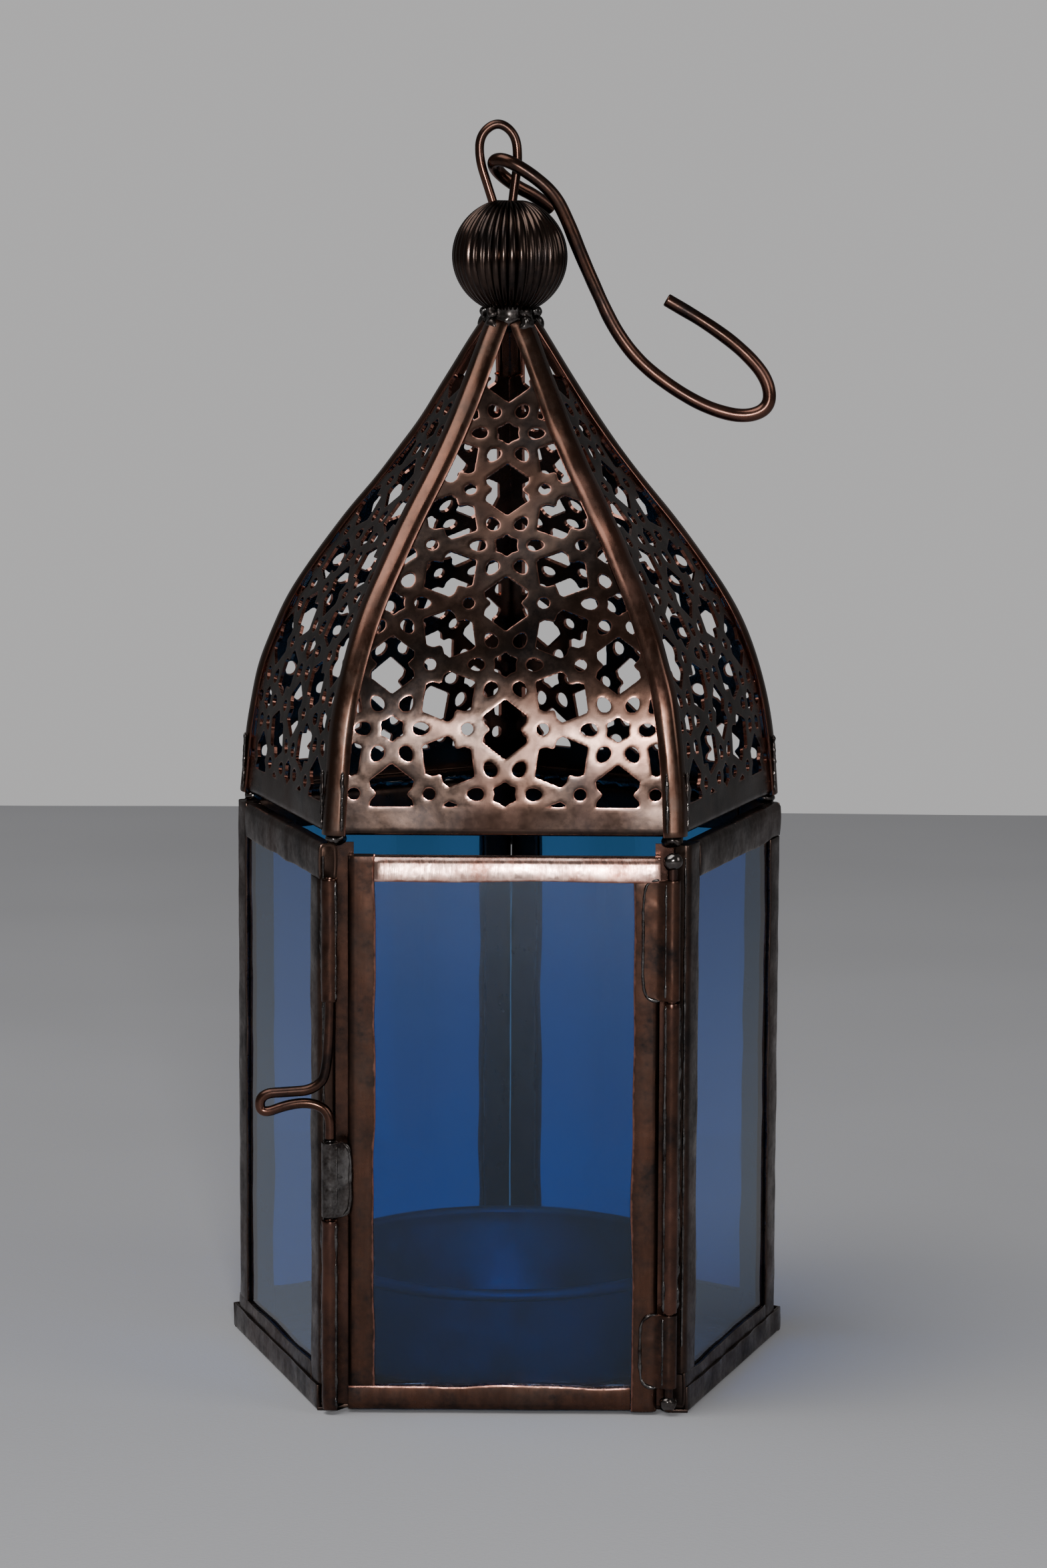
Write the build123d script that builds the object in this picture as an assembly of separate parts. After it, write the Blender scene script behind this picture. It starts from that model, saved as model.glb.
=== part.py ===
from build123d import *
import math
import os

# Five-sided hanging tealight lantern: folded sheet frames round glass panes, a wire-hinged
# door at the front, a pierced sheet roof with ribs, a finial ball, a wire loop and an S-hook.
# Millimetres. +Z is up, the origin is at the centre of the foot, and the door faces -Y.

os.makedirs("parts", exist_ok=True)

# ---------------------------------------------------------------- driving dimensions
corner_radius = 36.0         # lantern axis to a corner of the outer faces
body_top = 67.9              # top of the four fixed panels
sheet = 0.4                  # thickness of all folded sheet
glass_thickness = 1.2
glass_edge_clearance = 0.15  # between a pane's edge and the fold behind it
fold_radius = 0.55           # outside radius of a folded edge
panel_flange = 4.2           # width of the folded strips on the fixed panels
seam_gap = 0.1               # between two fixed panels, or two ribs, at their nearest

door_stile_flange = 3.1
door_rail_flange = 2.9
door_side_gap = 1.42         # door edge to the inner edge of the panel beside it
door_bottom = 0.4
door_top_gap = 1.3           # top of the door below the top of the panels
door_recess = 0.2            # door face behind the line of the front corners
stop_gap = 0.3               # between the closed door and the strips behind its edges
stop_lap = 0.6               # how far those strips reach behind the door

tray_thickness = 0.5
tray_rim_height = 3.1
tray_front_gap = 0.4         # tray edge behind the closed door

cup_clearance = 4.22         # between the cup's bead and the panels
cup_wall = 0.5
cup_height = 13.0
cup_taper = 0.8              # how much smaller the cup is at its floor
cup_bead_radius = 0.75

wire_running_clearance = 0.05
pin_radius = 0.55
bolt_radius = 0.6
sleeve_wall = 0.35
sleeve_forward = 0.2         # sleeve axes in front of the door's face
pin_inset = 1.55             # hinge pin inside the front right corner, along X
bolt_inset = 0.85            # bolt inside the front left corner, along X
strap_thickness = 0.45
strap_corner_radius = 0.9
hinge_strap_reach = 3.4      # from the pin onto the door's stile
keeper_strap_reach = 2.4
upper_knuckle_drop = 2.6     # top of the upper knuckle below the door's top
upper_knuckle_length = 14.2
lower_knuckle_rise = 3.0     # foot of the lower knuckle above the door's foot
lower_knuckle_length = 8.8
barrel_end_gap = 0.3         # between a knuckle and the fixed barrel beside it
pin_bottom = 0.6
pin_drop = 1.6               # end of the pin below the top of the panels
pin_bead_radius = 1.1
pin_foot_solder_height = 2.0
pin_foot_bead_radius = 0.95
solder_bridge_radius = 0.6
guide_drop = 3.9             # top of the bolt's guide below the top of the panels
guide_length = 14.5
saddle_width = 0.8           # web of solder behind a fixed sleeve
lower_guide_gap = 0.5        # between the keeper and the fixed tube below it
corner_solder_length = 5.0
keeper_bottom = 23.8
keeper_length = 8.9
bolt_lift = 0.35             # bolt end above the keeper when it is drawn
bolt_drop = 2.0              # end of the bolt below the top of its guide
handle_reach = 8.8           # bolt axis to the outer end of its hairpin handle
handle_rise = 4.95           # middle of the hairpin above the bolt's end
handle_pinch_gap = 0.15      # between the hairpin's two legs
handle_eye = 4.8             # bolt axis to the start of the hairpin's eye

eave_gap = 1.0               # lower edge of the roof above the panels
eave_inset = 0.92            # face of a roof sheet at the eave behind the panels' face
shoulder_rise = 36.1         # eave to where the roof's outward curve turns inward
shoulder_inset = 12.2        # shoulder inside the eave
neck_rise = 59.0             # eave to the top of the ribs
neck_apothem = 2.55
gore_drop = 6.9              # end of the pierced sheets below the neck
eave_lip = 2.6               # width of the fold under the eave
rib_thickness = 0.6
rib_width = 3.6
post_radius = 1.1            # solder between the panels' corners and the roof
post_inset = 0.3

star_pitch = 15.2            # between neighbouring stars of the piercing
first_star = 4.9             # lowest star above the eave, along the sheet
plain_band = 3.4             # unpierced sheet at the eave
pierced_margin = 2.0         # unpierced sheet beside a rib's centre line
star_outer = 1.45
star_inner = 1.15
petal_ring = 3.4             # ring of small holes round a star
petal_radius = 0.85
knot_half_length = 3.45      # two-lobed hole between two stars
knot_half_width = 2.45
knot_waist = 1.7
knot_shoulder = 0.44         # height of a lobe's outer corner, as a share of the half length
knot_chin = 0.26             # height of the lobe's lower corner
knot_throat = 0.1            # height of the waist's end
dot_radius = 0.7

collar_radius = 3.2
ball_radius = 6.92
ball_wall = 0.6
ball_rise = 7.6              # centre of the ball above the neck

loop_wire_radius = 0.55
loop_depth = 1.45            # ends of the loop below the top of the ball
hook_wire_radius = 0.82
bend_share = 0.45            # part of the shorter run that a wire's bend may take up

# ---------------------------------------------------------------- derived places
side_count = 5
step = 360 / side_count
half = math.radians(step / 2)
apothem = corner_radius * math.cos(half)
side = 2 * corner_radius * math.sin(half)
panel_thickness = glass_thickness + 2 * sheet
fold_reach = fold_radius + seam_gap / 2 + (panel_thickness - fold_radius) * math.sin(half)
setback = fold_reach / math.cos(half) - fold_radius
panel_width = side - 2 * setback
panel_height = body_top - tray_thickness
corner_x = side / 2

# The end web of a side panel beside the doorway: its outer and inner edges, right-hand side.
side_dir = (math.cos(2 * half), math.sin(2 * half))
side_in = (-math.sin(2 * half), math.cos(2 * half))
web_outer = (corner_x + setback * side_dir[0], -apothem + setback * side_dir[1])
web_inner = (web_outer[0] + panel_thickness * side_in[0], web_outer[1] + panel_thickness * side_in[1])

door_top = body_top - door_top_gap
door_face = -apothem + door_recess
door_back = door_face + panel_thickness
door_half_width = web_inner[0] - door_side_gap
sleeve_y = door_face - sleeve_forward
pin_x = corner_x - pin_inset
bolt_x = -(corner_x - bolt_inset)
pin_top = body_top - pin_drop
upper_knuckle_top = door_top - upper_knuckle_drop
upper_knuckle_bottom = upper_knuckle_top - upper_knuckle_length
lower_knuckle_bottom = door_bottom + lower_knuckle_rise
lower_knuckle_top = lower_knuckle_bottom + lower_knuckle_length
guide_top = body_top - guide_drop
guide_bottom = guide_top - guide_length
keeper_top = keeper_bottom + keeper_length
bolt_top = guide_top - bolt_drop
cup_inner_radius = apothem - panel_thickness - cup_clearance - 2 * cup_bead_radius

eave_height = body_top + eave_gap
eave_apothem = apothem - eave_inset
shoulder_height = eave_height + shoulder_rise
shoulder_apothem = eave_apothem - shoulder_inset
neck_height = eave_height + neck_rise
gore_top = neck_height - gore_drop
ball_height = neck_height + ball_rise
ball_top = ball_height + ball_radius

sides = {"right": 1, "rear_right": 2, "rear_left": 3, "left": 4}


def turned(shape, count):
    """The shape turned by a number of sides about the lantern's axis."""
    return shape.rotate(Axis.Z, step * count)


def block(x0, x1, y0, y1, z0, z1):
    """An upright box between two corners."""
    return Pos((x0 + x1) / 2, (y0 + y1) / 2, (z0 + z1) / 2) * Box(x1 - x0, y1 - y0, z1 - z0)


def post(x, y, radius, z0, z1):
    """An upright cylinder."""
    return Pos(x, y, (z0 + z1) / 2) * Cylinder(radius, z1 - z0)


def save(name, shape):
    """Write one node."""
    export_step(shape, "parts/" + name + ".step")


# ---------------------------------------------------------------- framed panes
def channel(length, flange):
    """A folded strip along +Z, its fold at x = 0, its pane slot open at +X, closed at the far end."""
    body = block(0, flange, 0, panel_thickness, 0, length)
    folds = body.edges().filter_by(Axis.Z).group_by(Axis.X)[0]
    body = fillet(folds, fold_radius)
    slot = block(sheet, flange, sheet, sheet + glass_thickness, 0, length - sheet)
    return body - slot


def framed_pane(width, height, stile_flange, rail_flange):
    """A pane and its four strips, each strip's end lapping the next, from the lower left corner."""
    edge = sheet + glass_edge_clearance
    upright = channel(height - rail_flange, stile_flange)
    level = channel(width - stile_flange, rail_flange)
    return {
        "glass": block(edge, width - edge, sheet, sheet + glass_thickness, edge, height - edge),
        "left_stile": Pos(0, 0, rail_flange) * upright,
        "top_rail": Pos(stile_flange, 0, height) * Rot(0, 90, 0) * level,
        "right_stile": Pos(width, 0, height - rail_flange) * Rot(0, 180, 0) * upright,
        "bottom_rail": Pos(width - stile_flange, 0, 0) * Rot(0, -90, 0) * level,
    }


def make_fixed_panels():
    """Four equal panels standing on the tray, their ends mitred where two panels meet."""
    pieces = framed_pane(panel_width, panel_height, panel_flange, panel_flange)
    fifth = wedge(seam_gap / 2, 0, body_top)
    nodes = {}
    for side_name, count in sides.items():
        for piece_name, piece in pieces.items():
            placed = Pos(-panel_width / 2, -apothem, tray_thickness) * piece & fifth
            nodes[side_name + "_panel_" + piece_name] = turned(placed, count)
    return nodes


def make_door():
    """The door's pane and strips, closed."""
    width = 2 * door_half_width
    pieces = framed_pane(width, door_top - door_bottom, door_stile_flange, door_rail_flange)
    place = Pos(-door_half_width, door_face, door_bottom)
    return {"door_" + name: place * piece for name, piece in pieces.items()}


# ---------------------------------------------------------------- tray and cup
def pentagon(face_distance, z0, z1):
    """An upright five-sided block with one face square to -Y."""
    radius = face_distance / math.cos(half)
    corners = []
    for k in range(side_count):
        angle = math.radians(-90 + step / 2 + step * k)
        corners.append((radius * math.cos(angle), radius * math.sin(angle)))
    return Pos(0, 0, z0) * extrude(make_face(Polyline(*corners, close=True)), z1 - z0)


def make_tray():
    """A folded tray: a plate with a rim outside the four fixed panels, open at the door."""
    tray = pentagon(apothem + sheet, 0, tray_rim_height) - pentagon(apothem, tray_thickness, body_top)
    reach = 2 * corner_radius
    tray -= block(-door_half_width - door_side_gap, door_half_width + door_side_gap,
                  -reach, door_back + tray_front_gap, -1, body_top)
    tray -= block(-reach, reach, -reach, web_outer[1], -1, body_top)
    return tray


def make_cup():
    """An open cup with a tapered wall and a rolled bead."""
    top = tray_thickness + cup_height
    floor_radius = cup_inner_radius - cup_taper
    outline = Polyline(
        (0, tray_thickness),
        (floor_radius + cup_wall, tray_thickness),
        (cup_inner_radius + cup_wall, top - cup_bead_radius),
        (cup_inner_radius, top - cup_bead_radius),
        (floor_radius, tray_thickness + cup_wall),
        (0, tray_thickness + cup_wall),
        close=True,
    )
    wall = revolve(Plane.XZ * make_face(outline), Axis.Z)
    bead = Pos(0, 0, top - cup_bead_radius) * Torus(cup_inner_radius + cup_bead_radius, cup_bead_radius)
    return wall + bead


# ---------------------------------------------------------------- doorway, hinge and latch
def largest(shape):
    """The largest solid of a cut shape."""
    return shape.solids().sort_by(SortBy.VOLUME)[-1]


def web_middle(hand):
    """The middle of the end web beside the doorway, right (1) or left (-1)."""
    return hand * (web_inner[0] + web_outer[0]) / 2, (web_inner[1] + web_outer[1]) / 2


def make_stop(hand, cut_by):
    """A narrow strip behind one edge of the door, joined to the side panel."""
    near = hand * (door_half_width - stop_lap)
    far = hand * corner_x
    strip = block(min(near, far), max(near, far), door_back + stop_gap, door_back + stop_gap + sheet,
                  tray_thickness, body_top)
    return largest(strip - cut_by)


def strapped_sleeve(x, reach, wire_radius, z0, z1):
    """A sleeve round an upright wire, with a strap that lies on the door's face."""
    outer = wire_radius + wire_running_clearance + sleeve_wall
    strap = block(min(x, x + reach), max(x, x + reach), door_face - strap_thickness, door_face, z0, z1)
    ends = strap.edges().filter_by(Axis.Y)
    far = ends.group_by(Axis.X)[-1] if reach > 0 else ends.group_by(Axis.X)[0]
    strap = fillet(far, strap_corner_radius)
    bore = post(x, sleeve_y, wire_radius + wire_running_clearance, z0, z1)
    return post(x, sleeve_y, outer, z0, z1) + strap - bore


def fixed_sleeve(x, wire_radius, z0, z1, cut_by):
    """A sleeve round an upright wire, with a saddle back to the side panel's web."""
    hand = math.copysign(1, x)
    bore_radius = wire_radius + wire_running_clearance
    sleeve = post(x, sleeve_y, bore_radius + sleeve_wall, z0, z1)
    middle = web_middle(hand)
    dx = middle[0] - x
    dy = middle[1] - sleeve_y
    length = math.hypot(dx, dy) + sheet
    saddle = Pos(length / 2, 0, (z0 + z1) / 2) * Box(length, saddle_width, z1 - z0)
    saddle = Pos(x, sleeve_y, 0) * Rot(0, 0, math.degrees(math.atan2(dy, dx))) * saddle
    return largest(sleeve + saddle - post(x, sleeve_y, bore_radius, z0, z1) - cut_by)


def make_pin_solder(cut_by):
    """The bead at the pin's head and the lump at its foot, both run onto the side panel."""
    run = Edge.make_line((pin_x, sleeve_y, 0), (*web_middle(1), 0))
    lumps = []
    for z, radius in ((pin_top, pin_bead_radius), (pin_bottom + pin_foot_solder_height / 2, pin_foot_bead_radius)):
        bead = Pos(pin_x, sleeve_y, z) * Sphere(radius)
        plane = Plane(origin=(pin_x, sleeve_y, z), z_dir=run.tangent_at(0))
        bridge = extrude(plane * Circle(solder_bridge_radius), run.length + sheet)
        lumps.append(largest(bead + bridge - cut_by))
    return Compound(children=lumps)


def wire(points, radius):
    """A round wire along straight runs with arcs as large as the runs allow."""
    arcs = []
    for before, here, after in zip(points, points[1:], points[2:]):
        first = Vector(*here) - Vector(*before)
        second = Vector(*after) - Vector(*here)
        turn = math.radians(first.get_angle(second))
        arcs.append(bend_share * min(first.length, second.length) / math.tan(turn / 2))
    path = FilletPolyline(*points, radius=arcs)
    start = Plane(origin=path.position_at(0), z_dir=path.tangent_at(0))
    return sweep(start * Circle(radius), path)


def make_bolt():
    """The sliding bolt: one wire, with a hairpin bent out of it as the handle."""
    end = keeper_top + bolt_lift
    pinch = 2 * bolt_radius + handle_pinch_gap
    middle = end + handle_rise
    tip = bolt_x - handle_reach + bolt_radius
    points = [
        (bolt_x, bolt_top),
        (bolt_x, middle + 3.1),
        (bolt_x - 1.9, middle + pinch / 2 + 0.25),
        (bolt_x - handle_eye, middle + pinch / 2),
        (tip, middle + 0.45),
        (tip, middle - 2.1),
        (bolt_x - handle_eye, middle - pinch / 2 - 0.1),
        (bolt_x - 2.0, middle - pinch / 2 + 0.1),
        (bolt_x, middle - 1.75),
        (bolt_x, end),
    ]
    return wire([(x, sleeve_y, z) for x, z in points], bolt_radius)


# ---------------------------------------------------------------- roof
def roof_line():
    """The roof sheet's outer line in the plane X = 0, from the eave up to the neck."""
    eave = (0, -eave_apothem, eave_height)
    shoulder = (0, -shoulder_apothem, shoulder_height)
    neck = (0, -neck_apothem, neck_height)
    span = eave_apothem - shoulder_apothem
    lower = Bezier(
        eave,
        (0, -(eave_apothem - 0.07 * span), eave_height + 12.8),
        (0, -(shoulder_apothem + 0.89 * span), shoulder_height - 15.5),
        shoulder,
    )
    lean = shoulder_apothem - neck_apothem
    upper = Bezier(
        shoulder,
        (0, -(shoulder_apothem - 0.59 * lean), shoulder_height + 11.3),
        (0, -(neck_apothem + 0.32 * lean), neck_height - 7.9),
        neck,
    )
    return Wire([lower, upper])


def roof_block():
    """Everything behind the front roof sheet's outer surface."""
    far = 2 * corner_radius
    line = roof_line()
    close_line = Polyline((0, -neck_apothem, neck_height), (0, far, neck_height),
                          (0, far, eave_height), (0, -eave_apothem, eave_height))
    face = make_face(line.edges() + close_line.edges())
    return extrude(face, far, dir=(1, 0, 0), both=True)


def wedge(inset, z0, z1):
    """The fifth of the plan behind the front face, its two sides moved in by the inset."""
    reach = 2 * corner_radius
    tip = inset / math.sin(half)
    spread = (reach - tip) * math.tan(half)
    plan = Polyline((0, -tip), (spread, -reach), (-spread, -reach), close=True)
    return Pos(0, 0, z0) * extrude(make_face(plan), z1 - z0)


def star():
    """A six-lobed hole."""
    points = []
    for k in range(12):
        radius = star_inner if k % 2 else star_outer
        angle = math.radians(90 + 30 * k)
        points.append((radius * math.cos(angle), radius * math.sin(angle)))
    return make_face(Polyline(*points, close=True))


def knot():
    """A two-lobed hole with pointed ends, its length along Y."""
    quarter = [(0, knot_half_length), (knot_half_width, knot_shoulder * knot_half_length),
               (0.92 * knot_half_width, knot_chin * knot_half_length),
               (knot_waist, knot_throat * knot_half_length)]
    right_side = quarter + [(x, -y) for x, y in reversed(quarter)]
    left_side = [(-x, y) for x, y in reversed(right_side[1:-1])]
    return make_face(Polyline(*right_side, *left_side, close=True))


def piercing(width_limit, length_limit):
    """Every hole of one roof sheet, as flat faces about the sheet's centre line at the eave."""
    across = star_pitch * math.sin(math.radians(60))
    holes = []
    for column in range(-3, 4):
        for row in range(-1, 6):
            x = column * across
            y = first_star + star_pitch * (row + (column % 2) / 2)
            holes.append((x, y, 0, star()))
            for k in range(6):
                angle = math.radians(60 * k)
                holes.append((x + petal_ring * math.cos(angle), y + petal_ring * math.sin(angle), 0,
                              Sketch() + Circle(petal_radius)))
            for turn in (0, -60, 60):
                angle = math.radians(90 + turn)
                reach = star_pitch / 2
                holes.append((x + reach * math.cos(angle), y + reach * math.sin(angle), turn, knot()))
            for turn in (0, 60):
                angle = math.radians(turn)
                reach = star_pitch / math.sqrt(3)
                holes.append((x + reach * math.cos(angle), y + reach * math.sin(angle), 0,
                              Sketch() + Circle(dot_radius)))
    return [hole for hole in holes if abs(hole[0]) < width_limit and 0 < hole[1] < length_limit]


def make_gore():
    """One pierced roof sheet with a fold under its eave, facing -Y."""
    solid = roof_block()
    sheet_shape = (solid - Pos(0, sheet, 0) * solid) & wedge(0, eave_height, gore_top)
    lip = block(-corner_radius, corner_radius, -eave_apothem + sheet, -eave_apothem + eave_lip,
                eave_height, eave_height + sheet) & wedge(0, eave_height, gore_top)
    line = roof_line()
    cutters = []
    for x, y, turn, face in piercing(corner_radius * math.sin(half), line.length):
        spot = line.position_at(y, position_mode=PositionMode.LENGTH)
        along = line.tangent_at(y, position_mode=PositionMode.LENGTH)
        if abs(x) > -spot.Y * math.tan(half) + knot_half_width:
            continue
        normal = Vector(0, -along.Z, along.Y)
        plane = Plane(origin=(x, spot.Y, spot.Z), x_dir=(1, 0, 0), z_dir=normal)
        cutters.append(extrude(plane * Rot(0, 0, turn) * face, 4 * sheet, both=True))
    window = wedge(pierced_margin, eave_height + plain_band, neck_height)
    holes = Compound(children=[Solid(cut.solid().wrapped) for cut in cutters]) & window
    return sheet_shape + lip - holes


def make_rib():
    """The folded strip over the joint at the front right corner of the roof."""
    front = roof_block()
    beside = turned(front, 1)
    grown = Pos(0, -rib_thickness, 0) * front
    strip = block(0, 2 * corner_radius, -rib_width / 2, rib_width / 2, eave_height, neck_height)
    strip = strip.rotate(Axis.Z, -90 + step / 2)
    cap = strip & grown & turned(grown, 1)
    own_fifth = turned(wedge(seam_gap / 2, eave_height, neck_height), 0.5)
    return (cap - (front & beside)) & own_fifth


# ---------------------------------------------------------------- top
def make_loop():
    """The hanging loop, a wire with both ends in the ball, in the plane Y = 0."""
    root = ball_top - loop_depth
    points = [
        (-1.75, root), (-2.65, root + 2.8), (-3.75, root + 6.2), (-3.65, root + 9.1),
        (-1.5, root + 10.7), (0.65, root + 9.1), (0.95, root + 6.0), (0.5, root + 2.8), (0.15, root),
    ]
    return wire([(x, 0, z) for x, z in points], loop_wire_radius)


def make_ball(loop):
    """A hollow bead, pierced by the two ends of the loop."""
    bead = Pos(0, 0, ball_height) * (Sphere(ball_radius) - Sphere(ball_radius - ball_wall))
    return bead - loop


def make_collar():
    """The seat under the ball, on the upper ends of the ribs."""
    seat = post(0, 0, collar_radius, neck_height, ball_height - ball_radius / 2)
    seat -= Pos(0, 0, ball_height) * Sphere(ball_radius)
    return seat.solids().sort_by(Axis.Z)[0]


def make_hook():
    """The S-hook: its small end round the loop's right leg, its shank and open end beside the ball."""
    eye = [
        (5.0, 4.3, -1.32), (2.9, 3.2, 0.38), (0.6, 2.3, 1.48), (-1.7, 1.5, 3.28),
        (-2.1, -0.5, 4.58), (-0.5, -2.0, 4.68), (2.6, -2.1, 2.88), (5.3, -1.9, 0.58),
    ]
    shank = [
        (0.0, -1.3, 4.4), (1.5, -0.7, 0.6), (3.5, -0.2, -3.9), (5.7, 0.0, -8.6),
        (8.7, 0.0, -12.6), (13.0, 0.0, -15.9), (17.4, 0.0, -18.3), (21.8, 0.0, -19.3),
        (24.7, 0.0, -18.0), (24.4, 0.0, -14.7), (21.5, 0.0, -11.3), (17.2, 0.0, -8.1), (12.0, 0.0, -5.1),
    ]
    points = [(x, y, ball_top + z) for x, y, z in eye]
    points += [(ball_radius + x, y, ball_height + z) for x, y, z in shank]
    return wire(points, hook_wire_radius)


# ---------------------------------------------------------------- solder between panels and roof
def make_roof_posts():
    """Five short posts of solder between the panels' corners and the roof's fold."""
    radius = math.hypot(*web_inner)
    posts = [turned(post(0, radius - post_inset, post_radius, body_top, eave_height), k)
             for k in range(side_count)]
    return Compound(children=posts)


def make_corner_solder():
    """Solder in the grooves of the three rear corners, near the top and the foot."""
    groove = []
    for depth in (fold_radius, panel_thickness - fold_radius):
        half_gap = setback * math.cos(half) - depth * math.sin(half)
        radius = corner_radius - setback * math.sin(half) - depth * math.cos(half)
        groove.append((half_gap, radius))
    plan = Polyline(*groove, *[(-x, y) for x, y in reversed(groove)], close=True)
    lump = extrude(make_face(plan), corner_solder_length)
    heights = (tray_rim_height, body_top - panel_flange - corner_solder_length)
    return Compound(children=[turned(Pos(0, 0, z) * lump, k) for z in heights for k in (-1, 0, 1)])


# ---------------------------------------------------------------- build
def main():
    panels = make_fixed_panels()
    for name, shape in {**panels, **make_door()}.items():
        save(name, shape)
    save("base_tray", make_tray())
    save("tealight_cup", make_cup())

    pin = post(pin_x, sleeve_y, pin_radius, pin_bottom, pin_top)
    save("hinge_pin", pin)
    right_strips = [panels["right_panel_left_stile"], panels["right_panel_bottom_rail"]]
    save("hinge_pin_solder", make_pin_solder([pin] + right_strips))
    save("door_upper_knuckle", strapped_sleeve(pin_x, -hinge_strap_reach, pin_radius,
                                               upper_knuckle_bottom, upper_knuckle_top))
    save("door_lower_knuckle", strapped_sleeve(pin_x, -hinge_strap_reach, pin_radius,
                                               lower_knuckle_bottom, lower_knuckle_top))
    save("latch_keeper", strapped_sleeve(bolt_x, keeper_strap_reach, bolt_radius,
                                         keeper_bottom, keeper_top))
    save("hinge_barrel", fixed_sleeve(pin_x, pin_radius, lower_knuckle_top + barrel_end_gap,
                                      upper_knuckle_bottom - barrel_end_gap, right_strips))
    left_strips = [panels["left_panel_right_stile"], panels["left_panel_top_rail"]]
    save("latch_guide", fixed_sleeve(bolt_x, bolt_radius, guide_bottom, guide_top, left_strips))
    save("latch_lower_guide", fixed_sleeve(bolt_x, bolt_radius, pin_bottom,
                                           keeper_bottom - lower_guide_gap, left_strips))
    save("front_stop_right", make_stop(1, right_strips + [panels["right_panel_top_rail"]]))
    save("front_stop_left", make_stop(-1, left_strips + [panels["left_panel_bottom_rail"]]))
    save("latch_bolt", make_bolt())

    gore = make_gore()
    save("roof_gore_front", gore)
    for name, count in sides.items():
        save("roof_gore_" + name, turned(gore, count))
    rib = make_rib()
    corner_names = ["front_right", "far_right", "rear", "far_left", "front_left"]
    for count, name in enumerate(corner_names):
        save("roof_rib_" + name, turned(rib, count))
    save("roof_posts", make_roof_posts())
    save("corner_solder", make_corner_solder())

    loop = make_loop()
    save("finial_collar", make_collar())
    save("finial_ball", make_ball(loop))
    save("hanging_loop", loop)
    save("s_hook", make_hook())


main()
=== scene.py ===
import math

import bmesh
import bpy
import numpy as np
from mathutils import Matrix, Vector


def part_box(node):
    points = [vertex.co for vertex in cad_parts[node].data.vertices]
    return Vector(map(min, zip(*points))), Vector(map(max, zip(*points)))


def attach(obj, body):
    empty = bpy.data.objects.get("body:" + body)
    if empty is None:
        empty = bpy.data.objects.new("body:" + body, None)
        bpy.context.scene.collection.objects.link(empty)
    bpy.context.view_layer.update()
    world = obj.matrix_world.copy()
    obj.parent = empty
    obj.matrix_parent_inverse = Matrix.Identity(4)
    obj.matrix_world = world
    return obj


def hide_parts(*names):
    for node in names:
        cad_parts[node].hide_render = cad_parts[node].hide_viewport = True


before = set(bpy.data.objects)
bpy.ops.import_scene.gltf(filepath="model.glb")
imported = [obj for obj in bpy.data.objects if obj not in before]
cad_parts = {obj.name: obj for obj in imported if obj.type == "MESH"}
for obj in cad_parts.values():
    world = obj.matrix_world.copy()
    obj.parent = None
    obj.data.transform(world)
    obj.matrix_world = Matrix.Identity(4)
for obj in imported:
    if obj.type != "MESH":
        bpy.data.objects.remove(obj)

bl_info = {
    "name": "Pierced copper lantern",
    "version": (1, 0, 0),
    "blender": (4, 5, 0),
    "location": "3D View > Sidebar > Lantern",
    "description": "Builds a five-sided tealight lantern of copper strip, blue glass and pierced sheet",
    "category": "Add Mesh",
}

# Shapes are worked out in millimetres and put into their meshes in metres.
MM = 0.001
SIDES = 5
STEP = 2 * math.pi / SIDES
HALF = STEP / 2
FAR = 9.0                    # edge distance of a surface that has no worn edge near
WELD = 0.002                 # points closer than this are one point
ROOF_HEART = np.array((0, 0, 90.0))
HEXAGON = range(0, 360, 60)
TURNS = {"front": 0, "right": 1, "rear_right": 2, "rear_left": 3, "left": 4}
RIB_TURNS = {"front_right": 0, "far_right": 1, "rear": 2, "far_left": 3, "front_left": 4}


def top_of(node):
    """The greatest height of a frame node, in millimetres."""
    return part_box(node)[1][2] / MM


def foot_of(node):
    """The least height of a frame node, in millimetres."""
    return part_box(node)[0][2] / MM


def length(name, default, description):
    """A length that a user may change, its default given in millimetres."""
    return bpy.props.FloatProperty(
        name=name, description=description, default=default * MM, min=0.0, unit="LENGTH", precision=5)


def colour(name, red, green, blue, description):
    """A colour that a user may change, its default given on the 0 to 255 screen scale."""
    screen = np.array((red, green, blue)) / 255
    linear = np.where(screen > 0.04045, ((screen + 0.055) / 1.055) ** 2.4, screen / 12.92)
    return bpy.props.FloatVectorProperty(
        name=name, description=description, default=tuple(linear), min=0.0, max=1.0, subtype="COLOR")


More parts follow.
